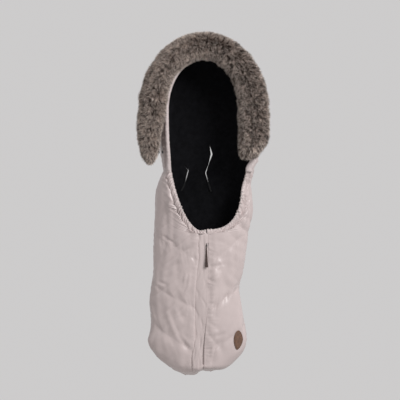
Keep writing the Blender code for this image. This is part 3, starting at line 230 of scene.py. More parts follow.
# The two sides, the seeds of their folds, and the way that the front faces
SIDES = {-1: "left", 1: "right"}
FRONT_SEEDS = {-1: 100, 1: 200}
FRONTWARDS = (0, -1, 0)


# Numbers


def smooth(share):
    """An eased step from 0 to 1: 3t^2 - 2t^3, with t held between 0 and 1."""
    share = np.clip(share, 0.0, 1.0)
    return share * share * (3 - 2 * share)


def blend(first, second, share):
    """A straight way from the first at share 0 to the second at share 1."""
    return first + (second - first) * share


def bell(at, middle, width):
    """A hump of height 1: exp(-((at - middle) / width)^2)."""
    return np.exp(-(((at - middle) / width) ** 2))


def fade(away, reach):
    """1 at no distance, and less further away: exp(-away / reach)."""
    return np.exp(-away / reach)


def join(*values):
    """Points from their coordinates, which are stretched to one shape first."""
    return np.stack(np.broadcast_arrays(*values), axis=-1)


def turns(count):
    """Angles of a full turn in even steps, without the last one."""
    return np.arange(count) * 2 * math.pi / count


def squared_ring(turn, across, out):
    """Cosine and sine, each raised to a power under its sign, which draws a circle towards a square."""
    cosine, sine = np.cos(turn), np.sin(turn)
    return np.sign(cosine) * np.abs(cosine) ** across, np.sign(sine) * np.abs(sine) ** out


def waves(points, size, seed, count=16):
    """Soft unevenness: a sum of cosines in random directions, with wavelengths near one size."""
    points = np.asarray(points, float)
    rng = np.random.default_rng(seed)
    direction = rng.normal(size=(count, points.shape[-1]))
    direction /= np.linalg.norm(direction, axis=1, keepdims=True)
    length = size * rng.uniform(0.7, 1.5, count)
    phase = rng.uniform(0.0, 2 * math.pi, count)
    turns = points @ (direction / length[:, None]).T
    return np.cos(2 * math.pi * turns + phase).sum(axis=-1) * math.sqrt(2 / count)


def ridges(points, size, seed, count=12):
    """Rounded lobes with narrow valleys between them: the size of a wave, whatever its sign."""
    wave = waves(points, size, seed, count)
    return np.sqrt(wave * wave + 0.02) - 0.7


def read_curve(knots, values, at):
    """A smooth line through the knots, its slope at each taken from the two beside it."""
    slopes = np.gradient(values, knots)
    place = np.clip(np.searchsorted(knots, at) - 1, 0, len(knots) - 2)
    width = knots[place + 1] - knots[place]
    t = np.clip((at - knots[place]) / width, 0.0, 1.0)
    start = (1 + 2 * t) * (1 - t) ** 2 * values[place] + t * (1 - t) ** 2 * width * slopes[place]
    end = t * t * (3 - 2 * t) * values[place + 1] + t * t * (t - 1) * width * slopes[place + 1]
    return start + end


def lengths_along(points, axis=0):
    """Distance run along a grid's lines, from zero at their start."""
    steps = np.linalg.norm(np.diff(points, axis=axis), axis=-1)
    run = np.cumsum(steps, axis=axis)
    return np.concatenate([np.zeros_like(np.take(run, [0], axis=axis)), run], axis=axis)


def read_path(path, run, at):
    """Points of a path at distances along it, on straight lines between its own."""
    return np.stack([np.interp(at, run, path[:, axis]) for axis in range(3)], axis=-1)


def unit(vectors):
    """Vectors over their lengths."""
    return vectors / np.maximum(np.linalg.norm(vectors, axis=-1, keepdims=True), 1e-12)


def normals_of(points, outward):
    """Unit normals of a grid, from the cross product of its two directions, turned to the outward side."""
    normal = unit(np.cross(np.gradient(points, axis=0), np.gradient(points, axis=1)))
    return -normal if (normal * outward).sum() < 0 else normal


# The bag's surface


def bag_column(column, z):
    """One column of the bag's shares, read at a height."""
    down = (Z_NECK - np.asarray(z, float)) / BAG_LENGTH
    return read_curve(BAG_SHARES[:, 0], BAG_SHARES[:, column], np.clip(down, 0.0, 1.0))


def sides(z):
    """The side seam's X at a height, left and right.

    Below the neck the bag's half widths. Above it they blend into the hood's ellipse with the square of
    the way down the hood's leg, and a hump flares the right leg out.
    """
    z = np.asarray(z, float)
    leg = np.clip((Z_DOME - z) / HOOD_LEG, 0.0, 1.0) ** 2
    round_share = np.sqrt(np.clip(1 - np.clip((z - Z_DOME) / HOOD_HEIGHT, 0.0, 1.0) ** 2, 0.0, 1.0))
    down = np.sqrt(leg)
    flare = {-1: 0.0, 1: LEG_FLARE * bell(down, LEG_FLARE_AT, 0.20) * smooth((1 - down) / 0.16)}
    found = []
    for sign, column in ((-1, 1), (1, 2)):
        bag = sign * bag_column(column, z) * BAG_WIDTH / 2
        hood = HOOD_MIDDLE_X + sign * HOOD_WIDTH / 2 * round_share
        found.append(np.where(z > Z_NECK, blend(hood, bag, leg) + flare[sign], bag))
    return found


def middle_and_half(z):
    """X midway between the side seams at a height, and half the distance between them."""
    left, right = sides(z)
    return (left + right) / 2, (right - left) / 2


def zip_line_depth(z):
    """How far the front stands before the seam plane along the zip: straight, but rounded at the foot."""
    z = np.asarray(z, float)
    up = (z - Z_ZIP_END) / (Z_MOUTH - Z_ZIP_END)
    straight = blend(FOOT_FRONT_DEPTH, MOUTH_FRONT_DEPTH, up)
    flare = NECK_FLARE * smooth((z - Z_MOUTH) / MOUTH_DROP)
    round_off = np.clip((Z_ZIP_END - z) / FOOT_ROUND, 0.0, 1.0) ** 2
    return (straight + flare) * (1 - round_off) + FOOT_END_DEPTH * round_off


def angle_at(x, z):
    """The angle round the section at which it has this X: arcsin of the share of the half width."""
    middle, half = middle_and_half(z)
    return np.arcsin(np.clip((x - middle) / half, -1.0, 1.0))


def front_depth(z):
    """The section's full depth: the depth at the zip, over the cosine of the zip's angle."""
    return zip_line_depth(z) / np.cos(angle_at(ZIP_X, z))


def lift(z, depth):
    """Inner layers end short of the foot and of the crown by their own depth."""
    return depth * (smooth((Z_FOOT + FOOT_TAPER - z) / FOOT_TAPER) - smooth((z - Z_DOME) / HOOD_HEIGHT))


def foot_rise(x, z):
    """The foot's bottom isn't level: two lobes with a notch at the placket, the right one shorter."""
    lobe_rise, lobe_start, lobe_end = 0.011, -0.022, 0.025
    notch_rise, notch_x, notch_half = 0.002, 0.006, 0.006
    near = smooth((Z_FOOT + FOOT_ROUND - z) / FOOT_ROUND)
    lobe = lobe_rise * smooth((x - lobe_start) / 0.024) * (1 - smooth((x - lobe_end) / 0.060))
    return near * (lobe + notch_rise * bell(x, notch_x, notch_half))


def front_points(angle, z, depth):
    """Half an ellipse at each height, cut flat as far forward as the zip, at a depth under the crests.

    x = middle + (half - depth) sin(angle), but beside the zip x keeps still whatever the depth.
    """
    angle, z, depth = np.broadcast_arrays(np.asarray(angle, float), z, depth)
    middle, half = middle_and_half(z)
    x = middle + half * np.sin(angle)
    beside = 1 - smooth((np.abs(x - ZIP_X) - ZIP_SLOT) / ZIP_REACH)
    x = x - depth * np.sin(angle) * (1 - beside * smooth((z - Z_FOOT) / FOOT_ROUND))
    flat = np.minimum(np.cos(angle) / np.cos(angle_at(ZIP_X, z)), 1.0)
    y = SEAM_Y - SEAM_GAP / 2 - (zip_line_depth(z) - depth) * flat
    return join(x, y, z + lift(z, depth) + foot_rise(x, z))


def back_depth(z):
    """How far the back stands behind the seam plane: the bag's shares, the leg, the dome's shares."""
    z = np.asarray(z, float)
    bag = bag_column(3, z) * BACK_DEPTH
    leg = np.clip((Z_DOME - z) / HOOD_LEG, 0.0, 1.0)
    heights = Z_DOME + HOOD_HEIGHT * np.sin(BACK_DOME_ANGLES)
    dome = np.interp(z, heights[::-1], BACK_DOME_SHARES[::-1]) * HEAD_BACK_DEPTH
    head = np.where(z > Z_DOME, dome, blend(HEAD_BACK_DEPTH, bag, leg))
    return np.where(z > Z_NECK, head, bag)


def back_points(angle, z, depth):
    """A flattened superellipse behind the seam, at a depth under the outer face."""
    angle, z, depth = np.broadcast_arrays(np.asarray(angle, float), z, depth)
    middle, half = middle_and_half(z)
    across = np.sign(angle) * np.abs(np.sin(angle)) ** (2 / BACK_POWER)
    behind = np.abs(np.cos(angle)) ** (2 / BACK_POWER) / BACK_FLAT
    x = middle + (half - depth) * across
    y = SEAM_Y + SEAM_GAP / 2 + (back_depth(z) - depth) * behind
    return join(x, y, z + lift(z, depth) + foot_rise(x, z))


# The opening's edge, the fold lines and the quilting seams


def mouth_line(sign, share):
    """X and Z of the opening's edge at a share of its way from the zip to the neck.

    The left half is a power curve. The right half is a quarter superellipse that flares out at its top
    and is raised at its bottom.
    """
    if sign < 0:
        across, up = MOUTH_LEFT * share, share**MOUTH_POWER
    else:
        turn = share * math.pi / 2
        up = 1 - np.cos(turn) ** (2 / MOUTH_SQUARE)
        across = MOUTH_RIGHT * np.sin(turn) ** (2 / MOUTH_SQUARE)
        across = across + MOUTH_FLARE * smooth((up - MOUTH_FLARE_FROM) / (1 - MOUTH_FLARE_FROM))
    x = ZIP_X + sign * across
    to_right = smooth((x - ZIP_X + 0.024) / 0.030)
    raised = MOUTH_LIFT * to_right * (1 - smooth(up / MOUTH_LIFT_TO))
    return x, Z_MOUTH + MOUTH_DROP * up + raised


def mouth_edge(sign, share, offset):
    """The same edge moved outwards over the cloth, which shows shorter from the front where it is steep."""
    share, offset = np.broadcast_arrays(np.asarray(share, float), offset)
    x, z = mouth_line(sign, share)
    ahead = mouth_line(sign, np.minimum(share + EDGE_STEP, EDGE_ENDS[sign]))
    behind = mouth_line(sign, np.maximum(share - EDGE_STEP, 0.0))
    along_x, along_z = ahead[0] - behind[0], ahead[1] - behind[1]
    length = np.hypot(along_x, along_z)
    _, half = middle_and_half(z)
    slope = front_depth(z) / half * np.tan(angle_at(x + sign * offset / 2, z))
    across = offset / np.hypot(1.0, slope)
    return x + sign * across * along_z / length, z - offset * np.abs(along_x) / length


def mouth_share(sign, axis, value, offset):
    """The share at which the moved edge has a given X, axis 0, or Z, axis 1, found by halving."""
    value = np.asarray(value, float)
    low, high = np.zeros_like(value), np.full_like(value, EDGE_ENDS[sign])
    rising = axis == 1 or sign > 0
    for _ in range(HALVINGS):
        middle = (low + high) / 2
        under = (mouth_edge(sign, middle, offset)[axis] < value) == rising
        low, high = np.where(under, middle, low), np.where(under, high, middle)
    return (low + high) / 2


def fold_x(sign, z):
    """X of a flap's fold line at a height: straight from its low end to its high end."""
    share = (z - Z_ZIP_END) / (Z_FOLD_TOP - Z_ZIP_END)
    return ZIP_X + sign * blend(FOLD_LOW[sign], FOLD_HIGH[sign], share)


def quilt_seams(sign):
    """Each seam's height at the zip, at the fold line and at the side seam, then the zip's end.

    A seam climbs with its distance from the zip, so where it meets a slanting line is found step by step.
    """
    start = ZIP_X + QUILT_START[sign]
    rows = []
    for level in np.cumsum([Z_QUILT_TOP, *(-spacing for spacing in QUILT_SPACINGS)]):
        at_fold = at_side = level
        for _ in range(HALVINGS):
            at_fold = level + QUILT_SLOPE * max(0.0, sign * (float(fold_x(sign, at_fold)) - start))
            edge = float(sides(at_side)[0 if sign < 0 else 1])
            at_side = level + QUILT_SLOPE * max(0.0, sign * (edge - start))
        rows.append((level, at_fold, at_side))
    rows.append((Z_ZIP_END, Z_ZIP_END + FOLD_END_SLOPE * FOLD_LOW[sign], Z_ZIP_END))
    return rows


def foot_drop(z):
    """Where the placket is swollen and drawn aside: from just over the zip's end to the foot."""
    return smooth((Z_ZIP_END + 0.075 - z) / 0.060) * (1 - smooth((Z_ZIP_END - 0.006 - z) / 0.030))


def foot_drift(z):
    """How far the line where the fronts meet drifts aside towards the foot."""
    return FOOT_DRIFT * smooth((Z_ZIP_END + 0.20 - z) / 0.18)


def front_edge(sign, z):
    """The front's edge at the zip. The right one runs over the teeth, and drifts aside at the foot."""
    x = np.full_like(z, ZIP_X + sign * ZIP_EDGE[sign])
    return x - foot_drift(z) if sign > 0 else x


# Rows of the front's grid in each stretch from the neck to the foot, the side seam's shares at which the fold
# line starts and the opening ends, and the grid's columns either side of the fold
NECK_ROWS = 16
MOUTH_ROWS = 56
COLLAR_ROWS = 26
CELL_ROWS = (48, 40, 12)
FOOT_ROWS = 14
SIDE_AT_FOLD = 2 / 9
SIDE_AT_ZIP = 7 / 9
FLAP_COLUMNS = 30
SIDE_COLUMNS = 30


def front_net(sign):
    """Angle and height of every point of one front's grid, and the rows at which its stretches end.

    Rows run from the casing or the zip to the side seam. Columns up to the fold line belong to the flap.
    Each stretch gives X and height of its rows' inner ends, their height on the fold line, and on the seam.
    """
    room = CASING_ROOM - TUCK
    seams = quilt_seams(sign)
    z_top = Z_NECK - SEAM_GAP / 2

    share = np.arange(NECK_ROWS) / NECK_ROWS
    z = blend(z_top, Z_FOLD_TOP, share)
    x, _ = mouth_edge(sign, mouth_share(sign, 1, z, room), room)
    side = blend(z_top, seams[0][2], share * SIDE_AT_FOLD)
    stretches = [(x, z, np.full_like(z, np.nan), side)]

    top = float(mouth_share(sign, 1, Z_FOLD_TOP, room))
    corner = float(mouth_share(sign, 0, ZIP_X + sign * ZIP_EDGE[sign], room))
    corner_z = float(mouth_edge(sign, corner, room)[1])
    share = np.arange(MOUTH_ROWS) / MOUTH_ROWS
    x, z = mouth_edge(sign, blend(top, corner, share), room)
    side = blend(z_top, seams[0][2], blend(SIDE_AT_FOLD, SIDE_AT_ZIP, share))
    stretches.append((x, z, blend(Z_FOLD_TOP, corner_z, share), side))

    share = np.arange(COLLAR_ROWS) / COLLAR_ROWS
    z = blend(corner_z, seams[0][0], share)
    side = blend(z_top, seams[0][2], blend(SIDE_AT_ZIP, 1.0, share))
    stretches.append((front_edge(sign, z), z, blend(corner_z, seams[0][1], share), side))

    for high, low, rows in zip(seams, seams[1:], CELL_ROWS):
        share = np.arange(rows) / rows
        z, fold, side = (blend(high[i], low[i], share) for i in range(3))
        stretches.append((front_edge(sign, z), z, fold, side))

    share = np.linspace(0.0, 1.0, FOOT_ROWS + 1)
    z = blend(Z_ZIP_END, Z_FOOT, share)
    closing = blend(front_edge(sign, z), ZIP_X - foot_drift(z) + sign * SEAM_GAP, smooth(share * 4))
    stretches.append((closing, z, np.full_like(z, np.nan), z))

    inner_x, inner_z, fold_z, side_z = (np.concatenate(column) for column in zip(*stretches))
    inner = angle_at(inner_x, inner_z)
    outer = np.full_like(inner, sign * math.pi / 2)
    fold = angle_at(fold_x(sign, fold_z), fold_z)
    first, last = NECK_ROWS, len(inner) - FOOT_ROWS - 2
    for row, rows in ((first, slice(0, first)), (last, slice(last + 1, None))):
        share = (fold[row] - inner[row]) / (outer[row] - inner[row])
        fold[rows] = blend(inner[rows], outer[rows], share)
        fold_z[rows] = blend(inner_z[rows], side_z[rows], share)
    near, far = np.linspace(0, 1, FLAP_COLUMNS + 1)[:-1], np.linspace(0, 1, SIDE_COLUMNS + 1)
    grids = []
    for lines in ((inner, fold, outer), (inner_z, fold_z, side_z)):
        start, middle, end = (line[:, None] for line in lines)
        grids.append(np.concatenate([blend(start, middle, near), blend(middle, end, far)], axis=1))
    return *grids, np.cumsum([NECK_ROWS, MOUTH_ROWS, COLLAR_ROWS, *CELL_ROWS])


# Meshes


def link(name, mesh, finish):
    """An object of the mesh, in the scene and with its finish."""
    obj = bpy.data.objects.new(name, mesh)
    bpy.context.scene.collection.objects.link(obj)
    mesh.materials.append(finish)
    return obj


def build(name, points, faces, finish, uv=None, sharp=50):
    """A mesh from arrays: faces are arrays of quads and of triangles, turned outwards by its volume."""
    points = np.ascontiguousarray(points.reshape(-1, 3), np.float32)
    faces = [np.asarray(part, np.int32) for part in faces if len(part)]
    volume = 0.0
    for part in faces:
        for corner in range(1, part.shape[1] - 1):
            a, b, c = (points[part[:, i]].astype(float) for i in (0, corner, corner + 1))
            volume += (a * np.cross(b, c)).sum()
    if volume < 0:
        faces = [part[:, ::-1] for part in faces]
    loops = np.concatenate([part.ravel() for part in faces])
    sizes = np.concatenate([np.full(len(part), part.shape[1]) for part in faces])
    mesh = bpy.data.meshes.new(name)
    mesh.vertices.add(len(points))
    mesh.vertices.foreach_set("co", points.ravel())
    mesh.loops.add(len(loops))
    mesh.loops.foreach_set("vertex_index", loops)
    mesh.polygons.add(len(sizes))
    mesh.polygons.foreach_set("loop_start", (np.cumsum(sizes) - sizes).astype(np.int32))
    mesh.polygons.foreach_set("loop_total", sizes.astype(np.int32))
    if uv is not None:
        layer = mesh.uv_layers.new(name="cloth")
        layer.data.foreach_set("uv", uv.reshape(-1, 2)[loops].astype(np.float32).ravel())
    mesh.update(calc_edges=True)
    mesh.validate()
    mesh.shade_smooth()
    if sharp:
        mesh.set_sharp_from_angle(angle=math.radians(sharp))
    return link(name, mesh, finish)


def grid_faces(rows, columns, start=0, wrap=False):
    """Quads between neighbouring points of a grid. With wrap, the last column joins the first."""
    index = start + np.arange(rows * columns).reshape(rows, columns)
    if wrap:
        index = np.concatenate([index, index[:, :1]], axis=1)
    a, b, c, d = index[:-1, :-1], index[:-1, 1:], index[1:, 1:], index[1:, :-1]
    return np.stack([a, b, c, d], axis=-1).reshape(-1, 4)


def slab(name, outer, inner, finish, normals=None, sharp=50):
    """A closed wall between two grids with the same rows and columns."""
    rows, columns = outer.shape[:2]
    count = rows * columns
    near = np.arange(count).reshape(rows, columns)
    rim = np.concatenate([near[0, :-1], near[:-1, -1], near[-1, :0:-1], near[:0:-1, 0]])
    ahead = np.roll(rim, -1)
    edge = np.stack([rim, ahead, ahead + count, rim + count], axis=-1)[:, ::-1]
    quads = np.concatenate([grid_faces(rows, columns), grid_faces(rows, columns, count)[:, ::-1], edge])
    uv = np.tile(join(lengths_along(outer, 1), lengths_along(outer, 0)).reshape(-1, 2), (2, 1))
    points = np.concatenate([outer.reshape(-1, 3), inner.reshape(-1, 3)])
    obj = build(name, points, [quads], finish, uv, sharp)
    if normals is not None:
        both = np.concatenate([normals.reshape(-1, 3), -normals.reshape(-1, 3)])
        obj.data.normals_split_custom_set_from_vertices(both.tolist())
    return obj


def loft(name, rings, finish, closed=False, sharp=50):
    """A tube through rings of points, closed on itself or with a cap at each end."""
    stations, around = rings.shape[:2]
    points = rings.reshape(-1, 3)
    quads = grid_faces(stations, around, wrap=True)
    triangles = []
    ring = np.arange(around)
    ahead = np.roll(ring, -1)
    last = (stations - 1) * around
    if closed:
        quads = np.concatenate([quads, join(last + ring, last + ahead, ahead, ring)])
    else:
        points = np.concatenate([points, rings[:1].mean(axis=1), rings[-1:].mean(axis=1)])
        low = join(stations * around, ahead, ring)
        high = join(last + ring, last + ahead, stations * around + 1)
        triangles = np.concatenate([low, high])
    v = lengths_along(rings, 0).mean(axis=1)[:, None]
    uv = join(ring / around, v).reshape(-1, 2)
    if not closed:
        uv = np.concatenate([uv, uv[:1], uv[-1:]])
    return build(name, points, [quads, triangles], finish, uv, sharp)


def directions(path, closed=False):
    """Unit vectors along a path, from each point's two neighbours."""
    if closed:
        along = np.roll(path, -1, axis=0) - np.roll(path, 1, axis=0)
    else:
        along = np.gradient(path, axis=0)
    return along / np.linalg.norm(along, axis=1, keepdims=True)


def frames(path, up, closed=False):
    """At each point of a path: the way along, the way across and the way out, which stays nearest to up."""
    along = directions(path, closed)
    across = np.cross(along, np.broadcast_to(np.asarray(up, float), path.shape))
    across /= np.linalg.norm(across, axis=1, keepdims=True)
    return along, across, np.cross(across, along)


def band(name, path, up, width, thick, finish, closed=False, square=0.35, around=14):
    """A flat strip along a path: at each point a superellipse, its width across and its thickness out."""
    _, across, out = frames(path, up, closed)
    wide, high = squared_ring(turns(around)[:, None], square, square)
    width, thick = (np.broadcast_to(size, len(path))[:, None, None] / 2 for size in (width, thick))
    rings = path[:, None] + across[:, None] * wide * width + out[:, None] * high * thick
    return loft(name, rings, finish, closed)


def stitches(name, path, up, pitch, radius, finish):
    """A row of stitches along a path: one small spindle per pitch, lying along the path."""
    run = lengths_along(path)
    count = max(int(run[-1] / pitch), 1)
    middles = (np.arange(count) + 0.5) * run[-1] / count
    size = np.array((0.25, 0.9, 1.0, 0.9, 0.25)) * radius
    stations, around = len(size), 5
    points = read_path(path, run, middles[:, None] + np.linspace(-0.5, 0.5, stations) * pitch * STITCH_SHARE)
    _, across, out = frames(path, up)
    side, high = (read_path(way, run, middles)[:, None, None] for way in (across, out))
    turn = turns(around)[:, None]
    rings = points[:, :, None] + (side * np.cos(turn) + high * np.sin(turn)) * size[:, None, None]
    first = (np.arange(count) * stations * around)[:, None, None]
    corner = np.arange(1, around - 1)
    low = join(corner + 1, corner, 0)
    high = low[:, ::-1] + (stations - 1) * around
    quads = (grid_faces(stations, around, wrap=True) + first).reshape(-1, 4)
    caps = np.concatenate([(low + first).reshape(-1, 3), (high + first).reshape(-1, 3)])
    return build(name, rings, [quads, caps], finish)


def take_place(obj, body, nodes=()):
    """The piece rides on a body, and stands for the frame's nodes that it replaces."""
    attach(obj, body)
    if nodes:
        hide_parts(*nodes)
    return obj


# Materials


class Value:
    """A number or colour that a node gives. Arithmetic on it adds Math nodes."""

    def __init__(self, tree, socket):
        self.tree = tree
        self.socket = socket

    def _math(self, operation, first, second):
        return self.tree.node("ShaderNodeMath", {"operation": operation}, {0: first, 1: second})

    def __add__(self, other):
        return self._math("ADD", self, other)

    __radd__ = __add__

    def __sub__(self, other):
        return self._math("SUBTRACT", self, other)

    def __rsub__(self, other):
        return self._math("SUBTRACT", other, self)

    def __mul__(self, other):
        return self._math("MULTIPLY", self, other)

    __rmul__ = __mul__


class Nodes:
    """A tree of nodes. Every node comes from its node method."""

    def __init__(self, tree):
        self.tree = tree

    def put(self, socket, value):
        """A link where the value comes from a node, else a plain number, colour or vector."""
        if isinstance(value, Value):
            self.tree.links.new(value.socket, socket)
        else:
            socket.default_value = value

    def node(self, kind, settings=None, values=None, output=0):
        """A node of a kind: its settings first, then its sockets. It answers with one of its outputs."""
        made = self.tree.nodes.new(kind)
        for name, value in (settings or {}).items():
            if name == "stops":
                ramp = made.color_ramp
                while len(ramp.elements) < len(value):
                    ramp.elements.new(0.5)
                for stop, (place, colour) in zip(ramp.elements, value):
                    stop.position = place
                    stop.color = (*colour, 1.0)
            else:
                setattr(made, name, value)
        for key, value in (values or {}).items():
            self.put(made.inputs[key], value)
        return Value(self, made.outputs[output]) if made.outputs else None


class Shader(Nodes):
    """One material. Its constant values sit on the Principled shader's own sockets."""

    def __init__(self, name, colour, roughness, **values):
        self.material = bpy.data.materials.new(name)
        self.material.use_nodes = True
        super().__init__(self.material.node_tree)
        self.surface = self.tree.nodes["Principled BSDF"]
        self.colour = colour
        self.material.diffuse_color = (*colour, 1.0)
        self.set(Base_Color=(*colour, 1.0), Roughness=roughness, **values)

    def set(self, **values):
        """Sockets of the Principled shader by name, with an underscore for each space."""
        for name, value in values.items():
            self.put(self.surface.inputs[name.replace("_", " ")], value)
        return self

    def place(self, size=(1.0, 1.0, 1.0)):
        """Object coordinates in metres, stretched by a size along each axis."""
        here = self.node("ShaderNodeTexCoord", output="Object")
        return self.node("ShaderNodeMapping", values={"Vector": here, "Scale": size})

    def cloth(self):
        """The piece's own map: metres across and along, or a share and metres."""
        return self.node("ShaderNodeUVMap", {"uv_map": "cloth"})

    def parts(self, vector):
        """A vector's three numbers."""
        split = self.node("ShaderNodeSeparateXYZ", values={"Vector": vector})
        return [Value(self, socket) for socket in split.socket.node.outputs]

    def noise(self, vector, scale, detail=3.0, roughness=0.55):
        """Soft noise, with so many waves a metre."""
        values = {"Vector": vector, "Scale": scale, "Detail": detail, "Roughness": roughness}
        return self.node("ShaderNodeTexNoise", values=values)

    def wave(self, number, pitch):
        """A sine of a length, from 0 to 1, once per pitch."""
        turn = number * (2 * math.pi / pitch)
        return self.node("ShaderNodeMath", {"operation": "SINE"}, {0: turn}) * 0.5 + 0.5

    def mix(self, factor, first, second):
        """The first colour at factor 0, the second at 1."""
        return self.node("ShaderNodeMix", {"data_type": "RGBA"}, {0: factor, 6: first, 7: second}, output=2)

    def ramp(self, factor, *stops):
        """Colours at places from 0 to 1, blended in between."""
        return self.node("ShaderNodeValToRGB", {"stops": stops}, {0: factor})

    def shades(self, factor, *stops):
        """A ramp of the material's own colour, made darker or lighter at each place."""
        found = [(place, tuple(min(part * share, 1.0) for part in self.colour)) for place, share in stops]
        return self.set(Base_Color=self.ramp(factor, *found))

    def bump(self, height, distance, strength=1.0):
        """Bumps of a height between 0 and 1, as deep as the distance."""
        values = {"Height": height, "Distance": distance, "Strength": strength}
        return self.set(Normal=self.node("ShaderNodeBump", values=values))


BLACK, WHITE = (0.0, 0.0, 0.0), (1.0, 1.0, 1.0)


def satin(name="satin", colour=(0.56, 0.475, 0.466)):
    """Soft satin: a very fine weave, faint creasing, and a painted sheen: colour that drifts a little lighter
    and darker in soft patches.
    """
    made = Shader(name, colour, 0.38, Sheen_Weight=0.10, Sheen_Roughness=0.4)
    here = made.place()
    # Painted sheen: soft patches of slightly darker and lighter colour stand in for the light on the satin.
    made.shades(made.noise(here, 9.0, 2.0), (0.3, 0.93), (0.7, 1.05))
    x, y, z = made.parts(here)
    weave = made.wave(x + y * 0.7, 0.0011) * made.wave(z + y * 0.4, 0.0011)
    crease = made.noise(made.place((1.0, 1.0, 0.55)), 60.0, 4.0)
    made.set(Roughness=crease * 0.14 + 0.28)
    return made.bump(crease * 0.7 + weave * 0.05, 0.0010, 0.40).material


def fleece():
    """Black fleece: short matted nap with small clumps."""
    made = Shader("fleece", (0.0036, 0.0036, 0.0048), 0.96, Specular_IOR_Level=0.15)
    here = made.place()
    nap = made.noise(here, 420.0, 4.0, 0.7)
    clump = made.noise(here, 70.0, 3.0)
    made.set(Base_Color=made.ramp(clump, (0.35, (0.0026, 0.0026, 0.0036)), (0.7, (0.0060, 0.0060, 0.0076))))
    return made.bump(nap * 0.7 + clump * 1.2, 0.0018, 0.8).material


def plain_cloth(name, colour, pitch, roughness=0.85):
    """Woven cloth: two crossed rows of threads at a pitch, with slightly uneven colour."""
    made = Shader(name, colour, roughness)
    here = made.place()
    x, y, z = made.parts(here)
    weave = made.wave(x + y, pitch) * made.wave(z + y * 0.5, pitch)
    drift = made.noise(here, 180.0, 3.0)
    made.shades(drift, (0.3, 0.7), (0.7, 1.25))
    return made.bump(weave + drift * 0.3, pitch * 0.35, 0.8).material


def webbing():
    """Strap webbing: ribs across and herringbone rows along, read from the strap's own map, with painted
    shade between the ribs.
    """
    made = Shader("webbing", (0.030, 0.030, 0.033), 0.8)
    u, v, _ = made.parts(made.cloth())
    rib = made.wave(v, 0.0022)
    row = made.wave(u + v * 8.0, 0.055)
    # Painted shade: the colour is darker between the ribs and paler on them, with random mottling from the
    # noise on top.
    shade_and_wear = rib * 0.6 + made.noise(made.place(), 300.0, 3.0) * 0.4
    made.set(Base_Color=made.ramp(shade_and_wear, (0.2, (0.014, 0.014, 0.016)), (0.8, (0.052, 0.052, 0.056))))
    return made.bump(rib * 0.7 + row * 0.5, 0.0005, 0.9).material


def leather(name, colour):
    """Leather: fine cells of grain, darker in the pores and paler where it is rubbed."""
    made = Shader(name, colour, 0.55)
    here = made.place()
    values = {"Vector": here, "Scale": 900.0}
    cells = made.node("ShaderNodeTexVoronoi", {"feature": "DISTANCE_TO_EDGE"}, values)
    mottle = made.noise(here, 130.0, 4.0)
    made.shades(mottle, (0.25, 0.6), (0.6, 1.0), (0.85, 1.5))
    made.set(Roughness=mottle * 0.35 + 0.38)
    return made.bump(cells * 1.6 + mottle * 0.5, 0.0007, 0.7).material


def dark_metal():
    """Blackened metal with small scratches and rubbed, paler places."""
    made = Shader("dark_metal", (0.075, 0.068, 0.066), 0.38, Metallic=1.0)
    # On the metal this is wear only: rubbed, paler places at random.
    shade_and_wear = made.noise(made.place((1.0, 1.0, 6.0)), 260.0, 4.0)
    made.set(Base_Color=made.ramp(shade_and_wear, (0.4, (0.055, 0.050, 0.049)), (0.75, (0.16, 0.15, 0.145))))
    made.set(Roughness=shade_and_wear * 0.3 + 0.25)
    return made.bump(shade_and_wear, 0.0002, 0.5).material


def nylon_teeth():
    """Moulded nylon, the shade of the satin."""
    made = Shader("zip_teeth", (0.36, 0.31, 0.30), 0.4)
    speck = made.noise(made.place(), 500.0, 3.0)
    made.set(Base_Color=made.ramp(speck, (0.3, (0.32, 0.275, 0.265)), (0.7, (0.40, 0.345, 0.335))))
    return made.bump(speck, 0.0002, 0.4).material


def grip_fabric():
    """Dark backing cloth with raised rubber dots in staggered rows."""
    made = Shader("grip_fabric", (0.035, 0.035, 0.038), 0.8)
    x, _, z = made.parts(made.place())
    dots = made.wave(x + z, 0.0078) * made.wave(x - z, 0.0078)
    raised = made.ramp(dots, (0.55, BLACK), (0.72, WHITE))
    thread = made.noise(made.place(), 500.0, 3.0)
    made.set(Base_Color=made.mix(raised, (0.045, 0.045, 0.048, 1.0), (0.014, 0.014, 0.015, 1.0)))
    made.set(Roughness=0.88 - raised * 0.4)
    return made.bump(raised + thread * 0.25, 0.0009).material


def fur_hair():
    """Hair coloured along its own map: dark at the root, warm grey, pale at the tip. U tells tufts apart."""
    made = Shader("fur", (0.21, 0.163, 0.142), 0.62, Specular_IOR_Level=0.35)
    u, v, _ = made.parts(made.cloth())
    pale = made.ramp(
        v,
        (0.0, (0.100, 0.070, 0.058)),
        (0.30, (0.33, 0.245, 0.210)),
        (0.65, (0.66, 0.540, 0.475)),
        (1.0, (0.86, 0.76, 0.69)),
    )
    dark = made.ramp(
        v,
        (0.0, (0.060, 0.042, 0.034)),
        (0.5, (0.050, 0.034, 0.027)),
        (1.0, (0.030, 0.020, 0.016)),
    )
    fleck = made.ramp(u, (0.35, WHITE), (0.41, BLACK))
    return made.set(Base_Color=made.mix(fleck, pale, dark)).material


